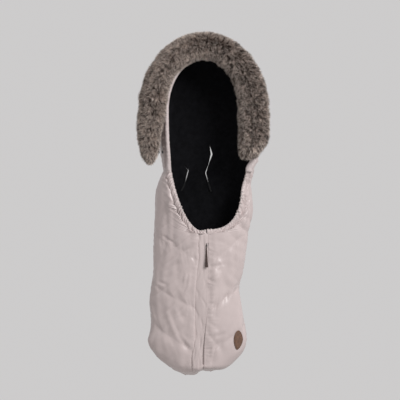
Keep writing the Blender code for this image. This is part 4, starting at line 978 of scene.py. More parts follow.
SATIN = satin()
TRIM_SATIN = satin("trim_satin", (0.60, 0.52, 0.512))
FLEECE = fleece()
FUR = fur_hair()
SUEDE = plain_cloth("trim_backing", (0.19, 0.145, 0.125), 0.0014, 0.9)
TAPE = plain_cloth("zip_tape", (0.40, 0.345, 0.335), 0.0009)
ELASTIC = plain_cloth("elastic", (0.70, 0.68, 0.65), 0.0012, 0.8)
EDGING = plain_cloth("edging", (0.0045, 0.0045, 0.0055), 0.0010, 0.95)
THREAD = plain_cloth("thread", (0.50, 0.43, 0.41), 0.0006, 0.7)
DARK_THREAD = plain_cloth("dark_thread", (0.035, 0.022, 0.016), 0.0006, 0.7)
BLACK_THREAD = plain_cloth("black_thread", (0.02, 0.02, 0.022), 0.0006, 0.8)
WEBBING = webbing()
PULL_LEATHER = leather("pull_leather", (0.045, 0.022, 0.017))
LABEL_LEATHER = leather("label_leather", (0.160, 0.082, 0.050))
METAL = dark_metal()
TEETH = nylon_teeth()
GRIP = grip_fabric()
FUR_BASE = plain_cloth("fur_base", (0.040, 0.028, 0.022), 0.003, 0.95)


# Front panels


def gather_wave(run, seed):
    """Gathers along an edge: narrow rounded lobes about nine millimetres apart, some of them joined."""
    return waves(run[..., None], 0.0085, seed, 10) * 0.65 + waves(run[..., None], 0.021, seed + 1, 6) * 0.5


def quilt_height(sign, points, z, seams_at):
    """How deep each point lies in a quilting seam's valley, from 0 to 1, and the puckers beside the seams.

    A valley falls off exponentially from its seam, with a reach and a strength that vary along the row.
    """
    slope = np.gradient(z, axis=1) / np.maximum(np.linalg.norm(np.gradient(points, axis=1), axis=-1), 1e-9)
    steep = np.sqrt(1 - np.clip(slope, -0.9, 0.9) ** 2)
    valley, pucker = np.zeros_like(z), np.zeros_like(z)
    run = lengths_along(points, 1)
    for number, row in enumerate(seams_at):
        away = np.abs(z - z[row]) * steep
        uneven = waves(join(run[row], number), 0.05, 60 + number, 8)
        reach = QUILT_REACH * np.clip(1 + 0.22 * uneven, 0.5, 1.6)
        uneven = waves((run[row] + number)[:, None], 0.045, 90 + number, 8)
        strength = SEAM_STRENGTH[sign][number] * np.clip(0.85 + 0.35 * uneven, 0.4, 1.15)
        rounded = np.sqrt(away**2 + VALLEY_ROUND**2) - VALLEY_ROUND
        valley = np.maximum(valley, strength * fade(rounded, reach))
        wrinkle = waves(join(run[row], away * 0.25), 0.012, 40 + number, 10)
        pucker += PUCKER * wrinkle * fade(away, PUCKER_REACH) * (1 - fade(away, 0.002))
    return valley, pucker


# Single folds of each front: both ends and the half width in units of a drawing's grid, then the height
FOLD_UNIT = 0.00292
FOLD_ORIGIN = (201.0, 61.0)
FOLD_HEIGHT = 0.00135
FOLDS = {
    -1: (
        (160, 181, 161, 232, 4.0, 1.3),
        (170, 190, 172, 228, 3.4, 1.5),
        (163.5, 236, 174, 243, 1.6, -2.0),
        (163, 239, 172, 246, 2.5, 0.9),
        (158.5, 281.4, 165.7, 283.6, 1.4, -1.9),
        (159, 284, 166, 286, 2.0, 0.8),
        (184, 282, 186.5, 273, 1.3, 2.4),
        (188, 283, 190.5, 274, 1.3, 2.2),
        (184.5, 293, 189.5, 284, 1.4, 2.6),
        (190, 262, 191.5, 253, 1.3, 1.2),
        (187, 262, 190, 254, 1.2, 0.8),
        (165, 268, 163, 280, 2.5, 0.9),
        (167.5, 299, 168.4, 320, 2.0, 1.8),
        (175.5, 307, 182, 323, 1.8, 1.4),
        (171.4, 312, 180, 336, 1.8, -1.4),
        (168, 314, 177, 337, 2.4, 1.2),
        (180, 336, 191, 352, 1.6, -1.3),
        (150.5, 303, 157, 324, 1.6, 1.2),
        (164, 337, 166, 350, 1.5, 1.0),
        (172, 343, 174, 352, 1.4, 1.2),
        (184, 336, 191, 346, 1.8, 1.3),
        (176, 282, 183, 296, 2.4, 0.9),
        (146, 288, 150, 300, 2.0, 1.0),
    ),
    1: (
        (209.5, 266.5, 224, 263.5, 1.7, -1.8),
        (219, 260, 222, 266, 1.2, 1.5),
        (223, 268, 215, 284, 2.6, 1.5),
        (206, 262, 211, 262, 1.3, -1.2),
        (206, 273, 212, 271, 1.3, -1.3),
        (206, 280, 213, 277, 1.3, -1.2),
        (206, 291, 212, 289, 1.2, -1.0),
        (206, 246, 213, 250, 1.5, 1.0),
        (231, 250, 230, 267, 2.2, 1.3),
        (237, 246, 236, 274, 2.0, 1.2),
        (233.5, 247, 233, 272, 1.4, -0.9),
        (234, 286, 238, 285, 1.4, -1.2),
        (208, 307, 213, 309, 1.6, 1.5),
        (208, 302, 215, 303, 1.5, -0.9),
        (210, 337, 224, 333, 1.8, -1.3),
        (211, 332, 225, 329, 2.4, 1.0),
        (216, 340, 212, 364, 1.7, -1.2),
        (221, 341, 215, 352, 1.6, 1.0),
        (206, 344, 212, 341, 1.3, -0.9),
        (229, 333, 220, 345, 2.4, 0.8),
    ),
}


def drawn_folds(sign, points):
    """The sum of single folds: height exp(-(distance / width)^2), fading towards each fold's ends."""
    x = points[..., 0] / FOLD_UNIT + FOLD_ORIGIN[0]
    y = FOLD_ORIGIN[1] - points[..., 2] / FOLD_UNIT
    height = np.zeros_like(x)
    for x0, y0, x1, y1, width, size in FOLDS[sign]:
        long_x, long_y = x1 - x0, y1 - y0
        along = np.clip(((x - x0) * long_x + (y - y0) * long_y) / (long_x**2 + long_y**2), 0.0, 1.0)
        away = np.hypot(x - x0 - along * long_x, y - y0 - along * long_y)
        height += FOLD_HEIGHT * size * bell(away, 0.0, width) * (0.35 + 0.65 * np.sin(math.pi * along) ** 0.7)
    return height


def mouth_gathers(sign, points, run, edge_run):
    """Gathers where the casing draws the cloth in: lobes that fade away from it, and weaker near the zip."""
    near_rise, near_reach, far_rise, far_reach = 0.0028, 0.016, 0.0006, 0.045
    off_zip = smooth((np.abs(points[..., 0] - ZIP_X) - 0.012) / 0.040)
    strength = np.where(points[..., 0] < ZIP_X, 0.15 + 0.55 * off_zip, 0.35 + 0.65 * off_zip)
    lobes = gather_wave(edge_run + 0.35 * run, FRONT_SEEDS[sign])
    return lobes * (near_rise * fade(run, near_reach) + far_rise * fade(run, far_reach)) * strength


def zip_puckers(sign, z, run):
    """Puckers of the cloth beside the zip: ridges that start at the strip's edge and fade away from it."""
    rise, size, start, reach = 0.0008, 0.017, 0.012, 0.024
    height = rise * ridges(join(z, run * 0.30), size, FRONT_SEEDS[sign] + 3)
    return height * fade(np.maximum(run - start, 0.0), reach) * smooth(run / start)


def lip_pinches(z, run):
    """Short pinches of the right front along its edge over the teeth, at two heights under the mouth."""
    rise, size, start, reach = 0.0016, 0.0105, 0.008, 0.014
    strong = bell(z, Z_MOUTH - 0.06, 0.03) + 0.8 * bell(z, Z_MOUTH - 0.14, 0.03)
    pinch = ridges(join(z + run * 0.25, run * 0.12), size, 217) * rise * strong
    return pinch * fade(np.maximum(run - start, 0.0), reach) * smooth(run / start)


def soft_folds(sign, points, z):
    """Loose folds: ridges down the panel and on a slant towards the zip, uneven, with fine ripples."""
    fold_rise, fold_size, ripple_rise, ripple_size = 0.0013, 0.042, 0.00015, 0.017
    x, y = points[..., 0], points[..., 1]
    seed = FRONT_SEEDS[sign]
    drape = ridges(join(x, y, z * 0.28), fold_size, seed + 5)
    slant, cross = x * 0.75 - sign * z * 0.66, x * 0.66 + sign * z * 0.75
    diagonal = ridges(join(slant * 0.40, cross, y * 0.4), 0.040, seed + 7)
    uneven = 1 + 0.5 * waves(points, 0.15, seed + 13)
    ripple = waves(join(x, y, z * 0.6), ripple_size, seed + 9)
    return (drape + diagonal * 0.8) * fold_rise * uneven + ripple * ripple_rise


def front_heights(sign, points, z, marks):
    """Every height of a front: its quilted body, the folds and gathers on it, and its edges, held down."""
    strip, strip_fade = 0.006, (0.015 if sign < 0 else 0.022)
    pucker_start, calm_start, side_calm = 0.012, 0.020, 0.030
    tuck_reach, curl_reach, curl_drop = 0.0065, 0.0020, 0.0030
    side_ripple, side_reach, side_hold = 0.0006, 0.014, 0.016
    foot_hold, neck_hold = 0.018, 0.014
    run = lengths_along(points, 1)
    to_side = run[:, -1:] - run
    rows = lengths_along(points, 0)
    near_mouth = 1 - smooth((np.arange(len(z)) - marks[1] + 8) / 10.0)[:, None]
    valley, pucker = quilt_height(sign, points, z, marks[2:5])

    widening = placket_widening(z) if sign < 0 else 0.0
    plain = smooth((run - strip - widening) / strip_fade)
    at_zip = (1 - plain) * (1 - near_mouth) * smooth((z - Z_ZIP_END) / 0.006 + 0.5)
    zip_level = -QUILT_RISE if sign < 0 else LIP_LEVEL
    height = blend(CREST - (QUILT_RISE + CREST) * valley * plain, zip_level, at_zip)

    calm = (1 - 0.7 * valley) * smooth(run / calm_start) * smooth(to_side / side_calm)
    height += mouth_gathers(sign, points, run, rows[:, :1]) * near_mouth
    height += pucker * smooth(run / pucker_start) + zip_puckers(sign, z, run) * (1 - near_mouth)
    height += soft_folds(sign, points, z) * calm
    if sign > 0:
        height += lip_pinches(z, run)
    height += drawn_folds(sign, points) * smooth(to_side / 0.020) * smooth((run - 0.002) / 0.006)

    height = blend(height, TUCK_LEVEL, near_mouth * bell(run, 0.0, tuck_reach))
    side_wave = side_ripple * waves(rows[..., None], 0.016, FRONT_SEEDS[sign] + 11)
    height += side_wave * fade(to_side, side_reach) * smooth(to_side / 0.004)
    height = blend(SIDE_LEVEL, height, smooth(to_side / side_hold))
    if sign > 0:
        height -= curl_drop * bell(run, 0.0, curl_reach) * (1 - near_mouth)
    height = blend(height, FOOT_LEVEL, smooth((Z_FOOT + foot_hold - z) / foot_hold))
    height = blend(NECK_LEVEL, height, smooth((Z_NECK - z) / neck_hold))
    if sign > 0:
        height = blend(LABEL_BED, height, smooth((np.hypot(*label_place(points)) - 0.95) / 0.45))
    return height


def label_girth():
    """The right side's angle at the label's middle, and how far the cloth runs there per radian."""
    middle, half = middle_and_half(LABEL_Z)
    centre = math.asin((LABEL_X - float(middle)) / float(half))
    return centre, math.hypot(float(half) * math.cos(centre), float(front_depth(LABEL_Z)) * math.sin(centre))


def label_place(points):
    """Points as shares of the label's half width and half height from its middle."""
    centre, girth = label_girth()
    angle = angle_at(points[..., 0], points[..., 2])
    return (angle - centre) * girth / LABEL_HALF_WIDTH, (points[..., 2] - LABEL_Z) / LABEL_HALF_HEIGHT


def pad_depth(sign, points, z):
    """Depth of the padding's inner face. The right panel thins to one fold of cloth over the teeth."""
    if sign < 0:
        return PAD_DEPTH
    off_zip = smooth((points[..., 0] - ZIP_X - ZIP_REACH) / 0.004)
    past_ends = np.maximum(smooth((Z_ZIP_END - z) / 0.006), smooth((z - Z_MOUTH + CASING_ROOM) / 0.004))
    thin = LIP_THICK - LIP_LEVEL + 0.0030 * bell(points[..., 0], front_edge(sign, z), 0.003)
    return blend(blend(thin, PAD_DEPTH, off_zip), PAD_DEPTH, past_ends)


def make_front(sign):
    """One front: the panel of its flap, and the neck and foot parts, which ride on the bag and hood."""
    side = SIDES[sign]
    angle, z, marks = front_net(sign)
    base = front_points(angle, z, 0.0)
    middle, _ = middle_and_half(z)
    outward = base - join(middle, SEAM_Y, z)
    normal = normals_of(base, outward)
    normal[:, -1] = (sign, 0.0, 0.0)
    outer = base + normal * front_heights(sign, base, z, marks)[..., None]
    shade = normals_of(outer, outward)
    inner = front_points(angle, z, pad_depth(sign, base, z))
    lining = front_points(angle, z, PAD_DEPTH + SEAM_GAP)
    deep = front_points(angle, z, FULL_DEPTH) + join(0.0, waves(lining, 0.030, 31) * 0.0006, 0.0)
    neck, foot = marks[0], marks[5]
    parts = (("front", slice(neck, foot + 1)), ("neck", slice(0, neck + 1)), ("foot", slice(foot, None)))
    for part, rows in parts:
        pad = slab(f"{side}_{part}_pad", outer[rows], inner[rows], SATIN, shade[rows])
        back = slab(f"{side}_{part}_lining", lining[rows], deep[rows], FLEECE)
        if part == "front":
            fold_over(pad, sign)
            fold_over(back, sign)
            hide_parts(f"{side}_flap_outer", f"{side}_flap_wadding")
            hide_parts(f"{side}_flap_lining")
        else:
            take_place(pad, "bag_and_hood", (f"{side}_side_outer", f"{side}_side_wadding"))
            take_place(back, "bag_and_hood", (f"{side}_side_lining",))


def fold_over(obj, sign):
    """The flap's fold line through the piece and the way in from it, worked out but not used: the piece keeps
    its shape, with its place baked into its mesh.
    """
    ends = []
    for z in (Z_FOLD_TOP, Z_ZIP_END):
        x = fold_x(sign, z)
        ends.append(front_points(angle_at(x, z), z, FULL_DEPTH / 2))
    along = ends[0] - ends[1]
    along /= np.linalg.norm(along)
    inward = np.cross(along, (0.0, -1.0, 0.0))
    if inward[0] * sign > 0:
        inward = -inward
    inward /= np.linalg.norm(inward)
    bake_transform(obj)


def casing_rings(sign, wide, thick, stations, around, gathers):
    """Rings of a flat tube along the opening: across by its half width, in depth by its half thickness.

    Each ring is a circle drawn a little towards a square. Gathers stand on its outer side.
    """
    low = float(mouth_share(sign, 0, ZIP_X + sign * 0.0008, wide))
    high = float(mouth_share(sign, 1, Z_NECK - SEAM_GAP, wide))
    share = np.linspace(low, high, stations)[:, None]
    turn = turns(around)[None]
    x, z = mouth_edge(sign, share, wide)
    run = lengths_along(front_points(angle_at(x, z), z, 0.0))
    lobes = gather_wave(run * 1.15 + wide * np.cos(turn) * 1.3, FRONT_SEEDS[sign])
    flat, up = squared_ring(turn, 0.8, 0.8)
    across = wide * (1 + flat * (1 + 0.09 * gathers * waves(run[..., None], 0.009, 77, 8)))
    x, z = mouth_edge(sign, share, across)
    strength = gathers * (0.35 + 0.65 * smooth((np.abs(x - ZIP_X) - 0.012) / 0.040))
    depth = FULL_DEPTH / 2 - thick * up - strength * lobes * CASING_LOBE * np.maximum(up, -0.3)
    return front_points(angle_at(x, z), z, depth)


def make_casing(sign):
    """Half of the opening's casing and its elastic: tubes from the zip to the neck."""
    side = SIDES[sign]
    rings = casing_rings(sign, CASING_HALF[sign], CASING_THICK, 260, 26, 1.0)
    casing = loft(f"{side}_casing", rings, SATIN, sharp=0)
    rings = casing_rings(sign, CASING_HALF[sign] * 0.6, 0.0015, 90, 10, 0.0)
    elastic = loft(f"{side}_elastic", rings, ELASTIC)
    for obj, kind in ((casing, "casing"), (elastic, "elastic")):
        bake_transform(obj)
        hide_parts(f"{side}_flap_{kind}", f"{side}_neck_{kind}")


# Zip, placket and pull


def zip_face(x, z, rise):
    """A point over the flat strip along the zip, at a rise over its bottom."""
    return front_points(angle_at(x, z), z, QUILT_RISE - rise)


def placket_widening(z):
    """How much further left the placket reaches below the mouth, and a little more at the foot."""
    wider_below, wider_at_foot = 0.013, 0.004
    return wider_below * smooth((Z_MOUTH - 0.03 - z) / 0.16) + wider_at_foot * foot_drop(z)


def make_placket():
    """The plain strip over the teeth: level across, rounded at its edges, swollen and tucked at the foot.

    Its rise is a bed over the teeth, a crown across and ripples with two furrows, all lower at both ends.
    """
    bed, foot_bed, crown, foot_crown = 0.0042, 0.0068, 0.0018, 0.0034
    ripple, furrow, thin = 0.0006, 0.0008, 0.0008
    z = np.linspace(Z_MOUTH - 0.0045, Z_FOOT + 0.004, 220)[:, None]
    u = np.linspace(0.0, 1.0, 26)[None]
    drop = foot_drop(z)
    sway = waves(z, 0.09, 5, 8)[:, None] * 0.0007
    left = ZIP_X + PLACKET_LEFT + sway - placket_widening(z)
    right = ZIP_X + PLACKET_RIGHT + sway * 0.3 - PLACKET_DRIFT * foot_drift(z)
    x = blend(left, right, u)
    off_middle = np.abs(2 * u - 1)
    sewn = smooth(u / 0.22)
    rise = blend(bed * sewn, foot_bed * smooth(u / 0.08), drop)
    rise += (1 - off_middle**2.6) * (crown + foot_crown * drop)
    uneven = 1 + 0.9 * waves(z, 0.045, 21, 8)[:, None]
    aside = 0.05 * waves(z, 0.06, 22, 8)[:, None]
    furrows = bell(u, 0.24 + aside, 0.09) * uneven + bell(u, 0.70 - aside, 0.08) * (2 - uneven)
    rippled = ripple * waves(join(z * 0.10, u * 0.026 + z * 0.015), 0.016, 11) - furrow * furrows
    ends = smooth((z - Z_FOOT - 0.004) / 0.014) * blend(0.80, 1.0, smooth((Z_MOUTH - 0.005 - z) / 0.007))
    rise = (rise + rippled * (1 - off_middle**6)) * (0.35 + 0.65 * ends)
    top = zip_face(x, z, rise)
    low = zip_face(x, z, np.minimum(0.0040 * sewn - 0.0002, rise - thin))
    placket = slab("placket", top, low, SATIN)
    take_place(placket, "left_flap", ("zip_placket",))
    for name, column in (("placket_stitching", 2), ("placket_edge_stitching", 23)):
        path = top[4:-8, column] + np.array((0.0, -0.0002, 0.0))
        take_place(stitches(name, path, FRONTWARDS, 0.0034, 0.00035, THREAD), "left_flap")


def make_tapes():
    """The zip's two tapes: flat strips beside the teeth, at the bottom of the strip along the zip."""
    z = np.linspace(Z_MOUTH - CASING_ROOM, Z_ZIP_END + 0.001, 120)
    for sign, side in SIDES.items():
        path = zip_face(ZIP_X + sign * TAPE_OUT, z, 0.0008)
        tape = band(f"{side}_tape", path, FRONTWARDS, TAPE_WIDTH, 0.0010, TAPE, around=10)
        take_place(tape, f"{side}_flap", (f"{side}_zip_tape",))


def make_pull():
    """The leather pull: a strip folded through the ring, so two plies that widen downwards, sewn round."""
    low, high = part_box("leather_pull")
    middle_x, face_y = (low.x + high.x) / 2, (low.y + high.y) / 2 - 0.0002
    under_ring, half_thick, fold_swell, bend, seam_inset = 0.0010, 0.0012, 0.0005, 0.0006, 0.0009
    t = np.linspace(0.0, 1.0, 60)
    z = high.z - under_ring - t * (high.z - low.z - under_ring)
    half = np.interp(t, (0.0, 0.07, 0.14, 0.96, 1.0), (0.0011, 0.0011, 0.0018, 0.0045, 0.0043))
    swell = half_thick + fold_swell * bell(t, 0.0, 0.05)
    y = face_y + bend * np.sin(t * 5.0)
    path = join(middle_x, y, z)
    pull = band("pull_tab", path, FRONTWARDS, half * 2, swell * 2, PULL_LEATHER, square=0.45, around=18)
    take_place(pull, "zip_pull", ("leather_pull",))
    for number, sign in enumerate((-1, 1), start=1):
        path = join(middle_x + sign * (half - seam_inset), y - swell, z)[10:56]
        row = stitches(f"pull_stitching_{number}", path, FRONTWARDS, 0.0024, 0.00022, DARK_THREAD)
        take_place(row, "zip_pull")


# Hood and back: the hood's grid, the binding's radius, and each slot's X, Z and half height, then its middle
# line's bends and its half openings down it, in millimetres
HOOD_LEG_ROWS = 34
HOOD_DOME_ROWS = 110
HOOD_COLUMNS = 26
BINDING_RADIUS = 0.0062
SLOTS = {
    "left_shoulder": (
        (-0.044, -0.341, 0.037),
        (-6.0, 6.5, 2.5, -1.5, -6.0, -14.0),
        (0.35, 1.4, 1.5, 0.9, 0.7, 0.4),
    ),
    "right_shoulder": (
        (0.022, -0.312, 0.068),
        (3.5, 9.5, 1.0, -8.5, -1.0, 7.5),
        (0.50, 2.8, 1.0, 1.6, 0.8, 0.6),
    ),
    "crotch": ((-0.008, -0.630, 0.030), (0.0, 0.6, -0.4, 0.0), (0.8, 1.6, 1.4, 0.8)),
}
SLOT_EDGING = 0.0013


def hood_stations():
    """Outline points and centres along the hood's arch, from the left neck over the crown.

    Up each leg the outline is the side seam and the centre the middle. Over the dome the outline is half
    an ellipse about one centre. With them go the share of the way down a leg, and the side.
    """
    legs = blend(Z_NECK + SEAM_GAP / 2, Z_DOME, np.linspace(0.0, 1.0, HOOD_LEG_ROWS))
    angles = np.linspace(math.pi, 0.0, HOOD_DOME_ROWS + 1)[1:-1]
    left, right = sides(legs)
    middle = (left + right) / 2
    down = (Z_DOME - legs) / HOOD_LEG

    def arch(up_left, over, up_right):
        """Values up the left leg, over the dome and down the right leg."""
        return np.concatenate([up_left, np.broadcast_to(over, len(angles)), up_right[::-1]])

    x = arch(left, HOOD_MIDDLE_X + HOOD_WIDTH / 2 * np.cos(angles), right)
    z = arch(legs, Z_DOME + HOOD_HEIGHT * np.sin(angles), legs)
    side = np.where(np.arange(len(x)) < len(x) / 2, -1, 1)
    return x, z, arch(middle, HOOD_MIDDLE_X, middle), arch(legs, Z_DOME, legs), arch(down, 0.0, down), side


def hood_points(angle, depth, spread=0.0):
    """Points of the hood at an angle from its front, for each station, at a depth under its outer face.

    Radius (reach - depth) sin(angle) out from the centre, and (depth of the hood - depth) cos(angle) ahead.
    """
    x, z, centre_x, centre_z, down, _ = (value[:, None] for value in hood_stations())
    reach = np.hypot(x - centre_x, z - centre_z)
    out_x, out_z = (x - centre_x) / reach, (z - centre_z) / reach
    ahead = blend(HOOD_DEPTH, float(front_depth(Z_NECK)), down)
    radius = (reach - depth) * np.sin(angle) + spread
    y = SEAM_Y - SEAM_GAP / 2 - (ahead - depth) * np.cos(angle)
    return join(centre_x + out_x * radius, y, centre_z + out_z * radius)


def rim_angles(at_dome, offset):
    """The angle of the hood's edge at each station: it runs out to the casings at the neck.

    From the dome's angle to the neck's with the square of the way down. A hump turns the right leg out.
    """
    *_, down, side = hood_stations()
    necks = {}
    for sign in SIDES:
        x, _ = mouth_edge(sign, mouth_share(sign, 1, Z_NECK, offset), offset)
        necks[sign] = abs(float(angle_at(x, Z_NECK)))
    neck = np.where(side < 0, necks[-1], necks[1])
    turned_out = np.radians(9) * bell(down, 0.80, 0.22) * (1 - down**4) * (side > 0)
    return (blend(at_dome, neck, down**2) + turned_out)[:, None]


def make_hood():
    """The hood: a padded band from the back's seam to its rim, gathered where the binding holds it."""
    near_rise, near_reach, far_rise, far_reach = 0.0019, 0.016, 0.0007, 0.05
    fold_rise, fold_size, seam_ripple, seam_reach = 0.0016, 0.045, 0.0008, 0.014
    seam_hold, tuck_reach, neck_hold = 0.016, 0.0055, 0.014
    rim = rim_angles(RIM_ANGLE, CASING_ROOM - TUCK)
    angle = blend(math.pi / 2, rim, np.linspace(0.0, 1.0, HOOD_COLUMNS)[None])
    base = hood_points(angle, 0.0)
    normal = normals_of(base, base - join(HOOD_MIDDLE_X, SEAM_Y, np.minimum(base[..., 2], Z_DOME)))
    run = lengths_along(base, 0)
    to_rim = lengths_along(base[:, ::-1], 1)[:, ::-1]
    from_seam = lengths_along(base, 1)
    lobes = gather_wave(run[:, -1:] + to_rim * 0.3, 300)
    height = lobes * (near_rise * fade(to_rim, near_reach) + far_rise * fade(to_rim, far_reach))
    height += ridges(base, fold_size, 301) * fold_rise * smooth(from_seam / 0.03)
    height += waves(run[:, :1, None], 0.017, 303, 8) * seam_ripple * fade(from_seam, seam_reach)
    height = blend(SEAM_LEVEL, height, smooth(from_seam / seam_hold))
    height = blend(height, HOOD_TUCK_LEVEL, bell(to_rim, 0.0, tuck_reach))
    height = blend(NECK_LEVEL, height, smooth((base[..., 2] - Z_NECK) / neck_hold))
    hood = slab("hood_pad", base + normal * height[..., None], hood_points(angle, PAD_DEPTH), SATIN)
    take_place(hood, "bag_and_hood", ("hood_outer", "hood_wadding"))
    nap = waves(base, 0.028, 305)[..., None] * 0.0008 * normal
    near, far = hood_points(angle, PAD_DEPTH + SEAM_GAP), hood_points(angle, FULL_DEPTH) + nap
    lining = slab("hood_fleece", near, far, FLEECE)
    take_place(lining, "bag_and_hood", ("hood_lining",))
    make_rim_binding()


def make_rim_binding():
    """The hood's edging: a soft tube, pinched by gathers, that runs into the casings.

    Near both ends its rings take the casings' width, and move away from the opening by what that adds.
    """
    ahead_of_rim, lobe_rise, right_twist, left_twist, onward = 0.0064, 0.0003, 0.0016, 0.0006, 0.6
    path = hood_points(rim_angles(RIM_ANGLE - ahead_of_rim / HOOD_DEPTH, 0.0060), FULL_DEPTH / 2)[:, 0]
    run = lengths_along(path)
    at = np.linspace(0.0, run[-1], 420)
    path = read_path(path, run, at)
    path[0] += (path[0] - path[4]) * onward
    path[-1] += (path[-1] - path[-5]) * onward
    _, across, out = frames(path, FRONTWARDS)
    turn = turns(16)[None]
    lobes = gather_wave(at[:, None], 307)
    twist = gather_wave(at[:, None] + 0.013 * np.cos(turn), 309)
    to_left, to_right = bell(at, 0.0, 0.030)[:, None], bell(at, run[-1], 0.060)[:, None]
    twist = twist * (lobe_rise + right_twist * to_right + left_twist * to_left)
    radius = BINDING_RADIUS + lobe_rise * lobes + twist
    wide = blend(radius, CASING_HALF[-1], to_left)
    wide = blend(wide, CASING_HALF[1] * (1 + 0.04 * lobes), to_right)
    away = across * np.sign(across[-1, 0])
    rings = (path + away * (wide.mean(axis=1, keepdims=True) - BINDING_RADIUS))[:, None]
    rings = rings + across[:, None] * (wide * np.cos(turn))[..., None]
    rings = rings + out[:, None] * (radius * np.sin(turn))[..., None]
    binding = loft("rim_binding", rings, TRIM_SATIN, sharp=0)
    take_place(binding, "bag_and_hood", ("hood_rim_binding",))


def slot_outline(name, grow=0.0):
    """A slot's closed outline in X and Z: its bent middle line, opened to both sides."""
    (x, z, half), bends, opens = SLOTS[name]
    down = np.linspace(-1.0, 1.0, 40)
    knots = np.linspace(-1.0, 1.0, len(bends))
    middle = x + np.interp(down, knots, np.array(bends) / 1000)
    opening = np.maximum(read_curve(knots, np.array(opens) / 1000, down), 0.00008) + grow
    heights = z - down * (half + grow)
    return np.concatenate([join(middle - opening, heights), join(middle + opening, heights)[::-1]])


def slot_cutter(name):
    """A slot's outline, a little larger, carried straight through the back."""
    x, z = slot_outline(name, SLOT_EDGING * 0.8).T
    rings = np.stack([join(x, y, z) for y in (-0.05, 0.02)])
    return loft(f"{name}_cut", rings, EDGING, sharp=0)


def cut(pieces, cutters):
    """Takes the cutters' shapes out of each piece for good. The cutters themselves are dropped."""
    for piece in pieces:
        for cutter in cutters:
            step = piece.modifiers.new(cutter.name, "BOOLEAN")
            step.operation = "DIFFERENCE"
            step.solver = "EXACT"
            step.object = cutter
        graph = bpy.context.evaluated_depsgraph_get()
        made = bpy.data.meshes.new_from_object(piece.evaluated_get(graph))
        piece.modifiers.clear()
        piece.data = made
    for cutter in cutters:
        bpy.data.objects.remove(cutter, do_unlink=True)


def make_back():
    """The back: a padded panel and its fleece, cut for the harness slots.

    Its outer face is level under the non-slip patch. The fleece has one soft crease down the head's middle.
    """
    fold_rise, fold_size, seam_ripple, seam_reach, seam_hold = 0.0016, 0.050, 0.0009, 0.014, 0.016
    crease_x, crease_half, crease_rise = -0.003, 0.004, 0.003
    patch_x, patch_z, patch_half_x, patch_half_z = -0.008, -0.66, 0.075, 0.115
    z = np.linspace(Z_CROWN - 0.004, Z_FOOT, 300)[:, None]
    angle = np.linspace(-1.0, 1.0, 90)[None] * math.pi / 2
    base = back_points(angle, z, 0.0)
    normal = normals_of(base, np.array((0.0, 1.0, 0.0)))
    run = lengths_along(base, 1)
    edge = np.minimum(run, run[:, -1:] - run)
    height = ridges(base * (1.0, 1.0, 0.6), fold_size, 401) * fold_rise * smooth(edge / 0.03)
    height += waves(z, 0.017, 403, 8)[:, None] * seam_ripple * fade(edge, seam_reach)
    under_patch = smooth((patch_half_x - np.abs(base[..., 0] - patch_x)) / 0.02)
    under_patch = under_patch * smooth((patch_half_z - np.abs(base[..., 2] - patch_z)) / 0.02)
    height = blend(SEAM_LEVEL, blend(height, 0.0, under_patch), smooth(edge / seam_hold))
    outer = base + normal * np.minimum(height, CREST)[..., None]
    pad = slab("back_pad", outer, back_points(angle, z, PAD_DEPTH), SATIN)
    inner = back_points(angle, z, FULL_DEPTH)
    x, _, up = np.moveaxis(inner, -1, 0)
    crease = bell(x, crease_x, crease_half) * smooth((up + 0.12) / 0.03) * (1 - smooth((up + 0.055) / 0.02))
    folds = ridges(inner * (1.0, 1.0, 0.35), 0.045, 405) * fold_rise * smooth(edge / 0.03)
    inner = inner + join(0.0, crease * crease_rise - folds, 0.0)
    fleece_back = slab("back_fleece", back_points(angle, z, PAD_DEPTH + SEAM_GAP), inner, FLEECE)
    cut((pad, fleece_back), [slot_cutter(name) for name in SLOTS])
    take_place(pad, "bag_and_hood", ("back_outer", "back_wadding"))
    take_place(fleece_back, "bag_and_hood", ("back_lining",))
    make_slot_edges()


def make_slot_edges():
    """Edging round each slot: thin bands on the fleece and on the outer cloth, and a wall between them."""
    bands = (
        ("edging_1", FULL_DEPTH + 0.0006, SLOT_EDGING * 2, 0.0016),
        ("edging_2", -0.0002, SLOT_EDGING * 2, 0.0016),
        ("wall", FULL_DEPTH / 2, 0.0010, FULL_DEPTH),
    )
    for name in SLOTS:
        x, z = slot_outline(name, SLOT_EDGING * 0.5).T
        for kind, depth, width, thick in bands:
            path = join(x, SEAM_Y + back_depth(z) - depth, z)
            edge = band(f"{name}_{kind}", path, FRONTWARDS, width, thick, EDGING, closed=True, around=8)
            take_place(edge, "bag_and_hood", (f"{name}_slot_binding",))


# Fur trim: the core's grid and its share of the trim's body, and the hairs: how many, how long and how wide
# to each side, the places along a hair at which it bends, and its share of that width at each
FUR_STATIONS = 260
FUR_AROUND = 96
CORE_SHARE = 0.52
TUFT_STRANDS = 7
HAIR_PIECES = 6
HAIRS_PER_PIECE = 36400
HAIR_LENGTH = 0.0225
HAIR_HALF_WIDTH = 0.00042
HAIR_PLACES = (0.0, 0.36, 0.72, 1.0)
HAIR_WIDTHS = (1.0, 0.95, 0.62)


def closed_curve(points, count):
    """A smooth closed line through points: each stretch a cubic whose ends lean like their neighbours."""
    t = np.linspace(0, len(points), count, endpoint=False)
    i = t.astype(int)
    f = (t - i)[:, None]
    a, b, c, d = (points[(i + k) % len(points)] for k in (-1, 0, 1, 2))
    return 0.5 * (2 * b + (c - a) * f + (2 * a - 5 * b + 4 * c - d) * f**2 + (3 * b - a - 3 * c + d) * f**3)


def arch_height(radius):
    """How high the arch rises over the dome's centre: like the hood near it, flatter further out."""
    knee = 1.03 * HOOD_WIDTH / 2
    near = np.minimum(radius, knee) * HOOD_HEIGHT / (HOOD_WIDTH / 2)
    return near + 0.38 * np.maximum(radius - knee, 0.0)


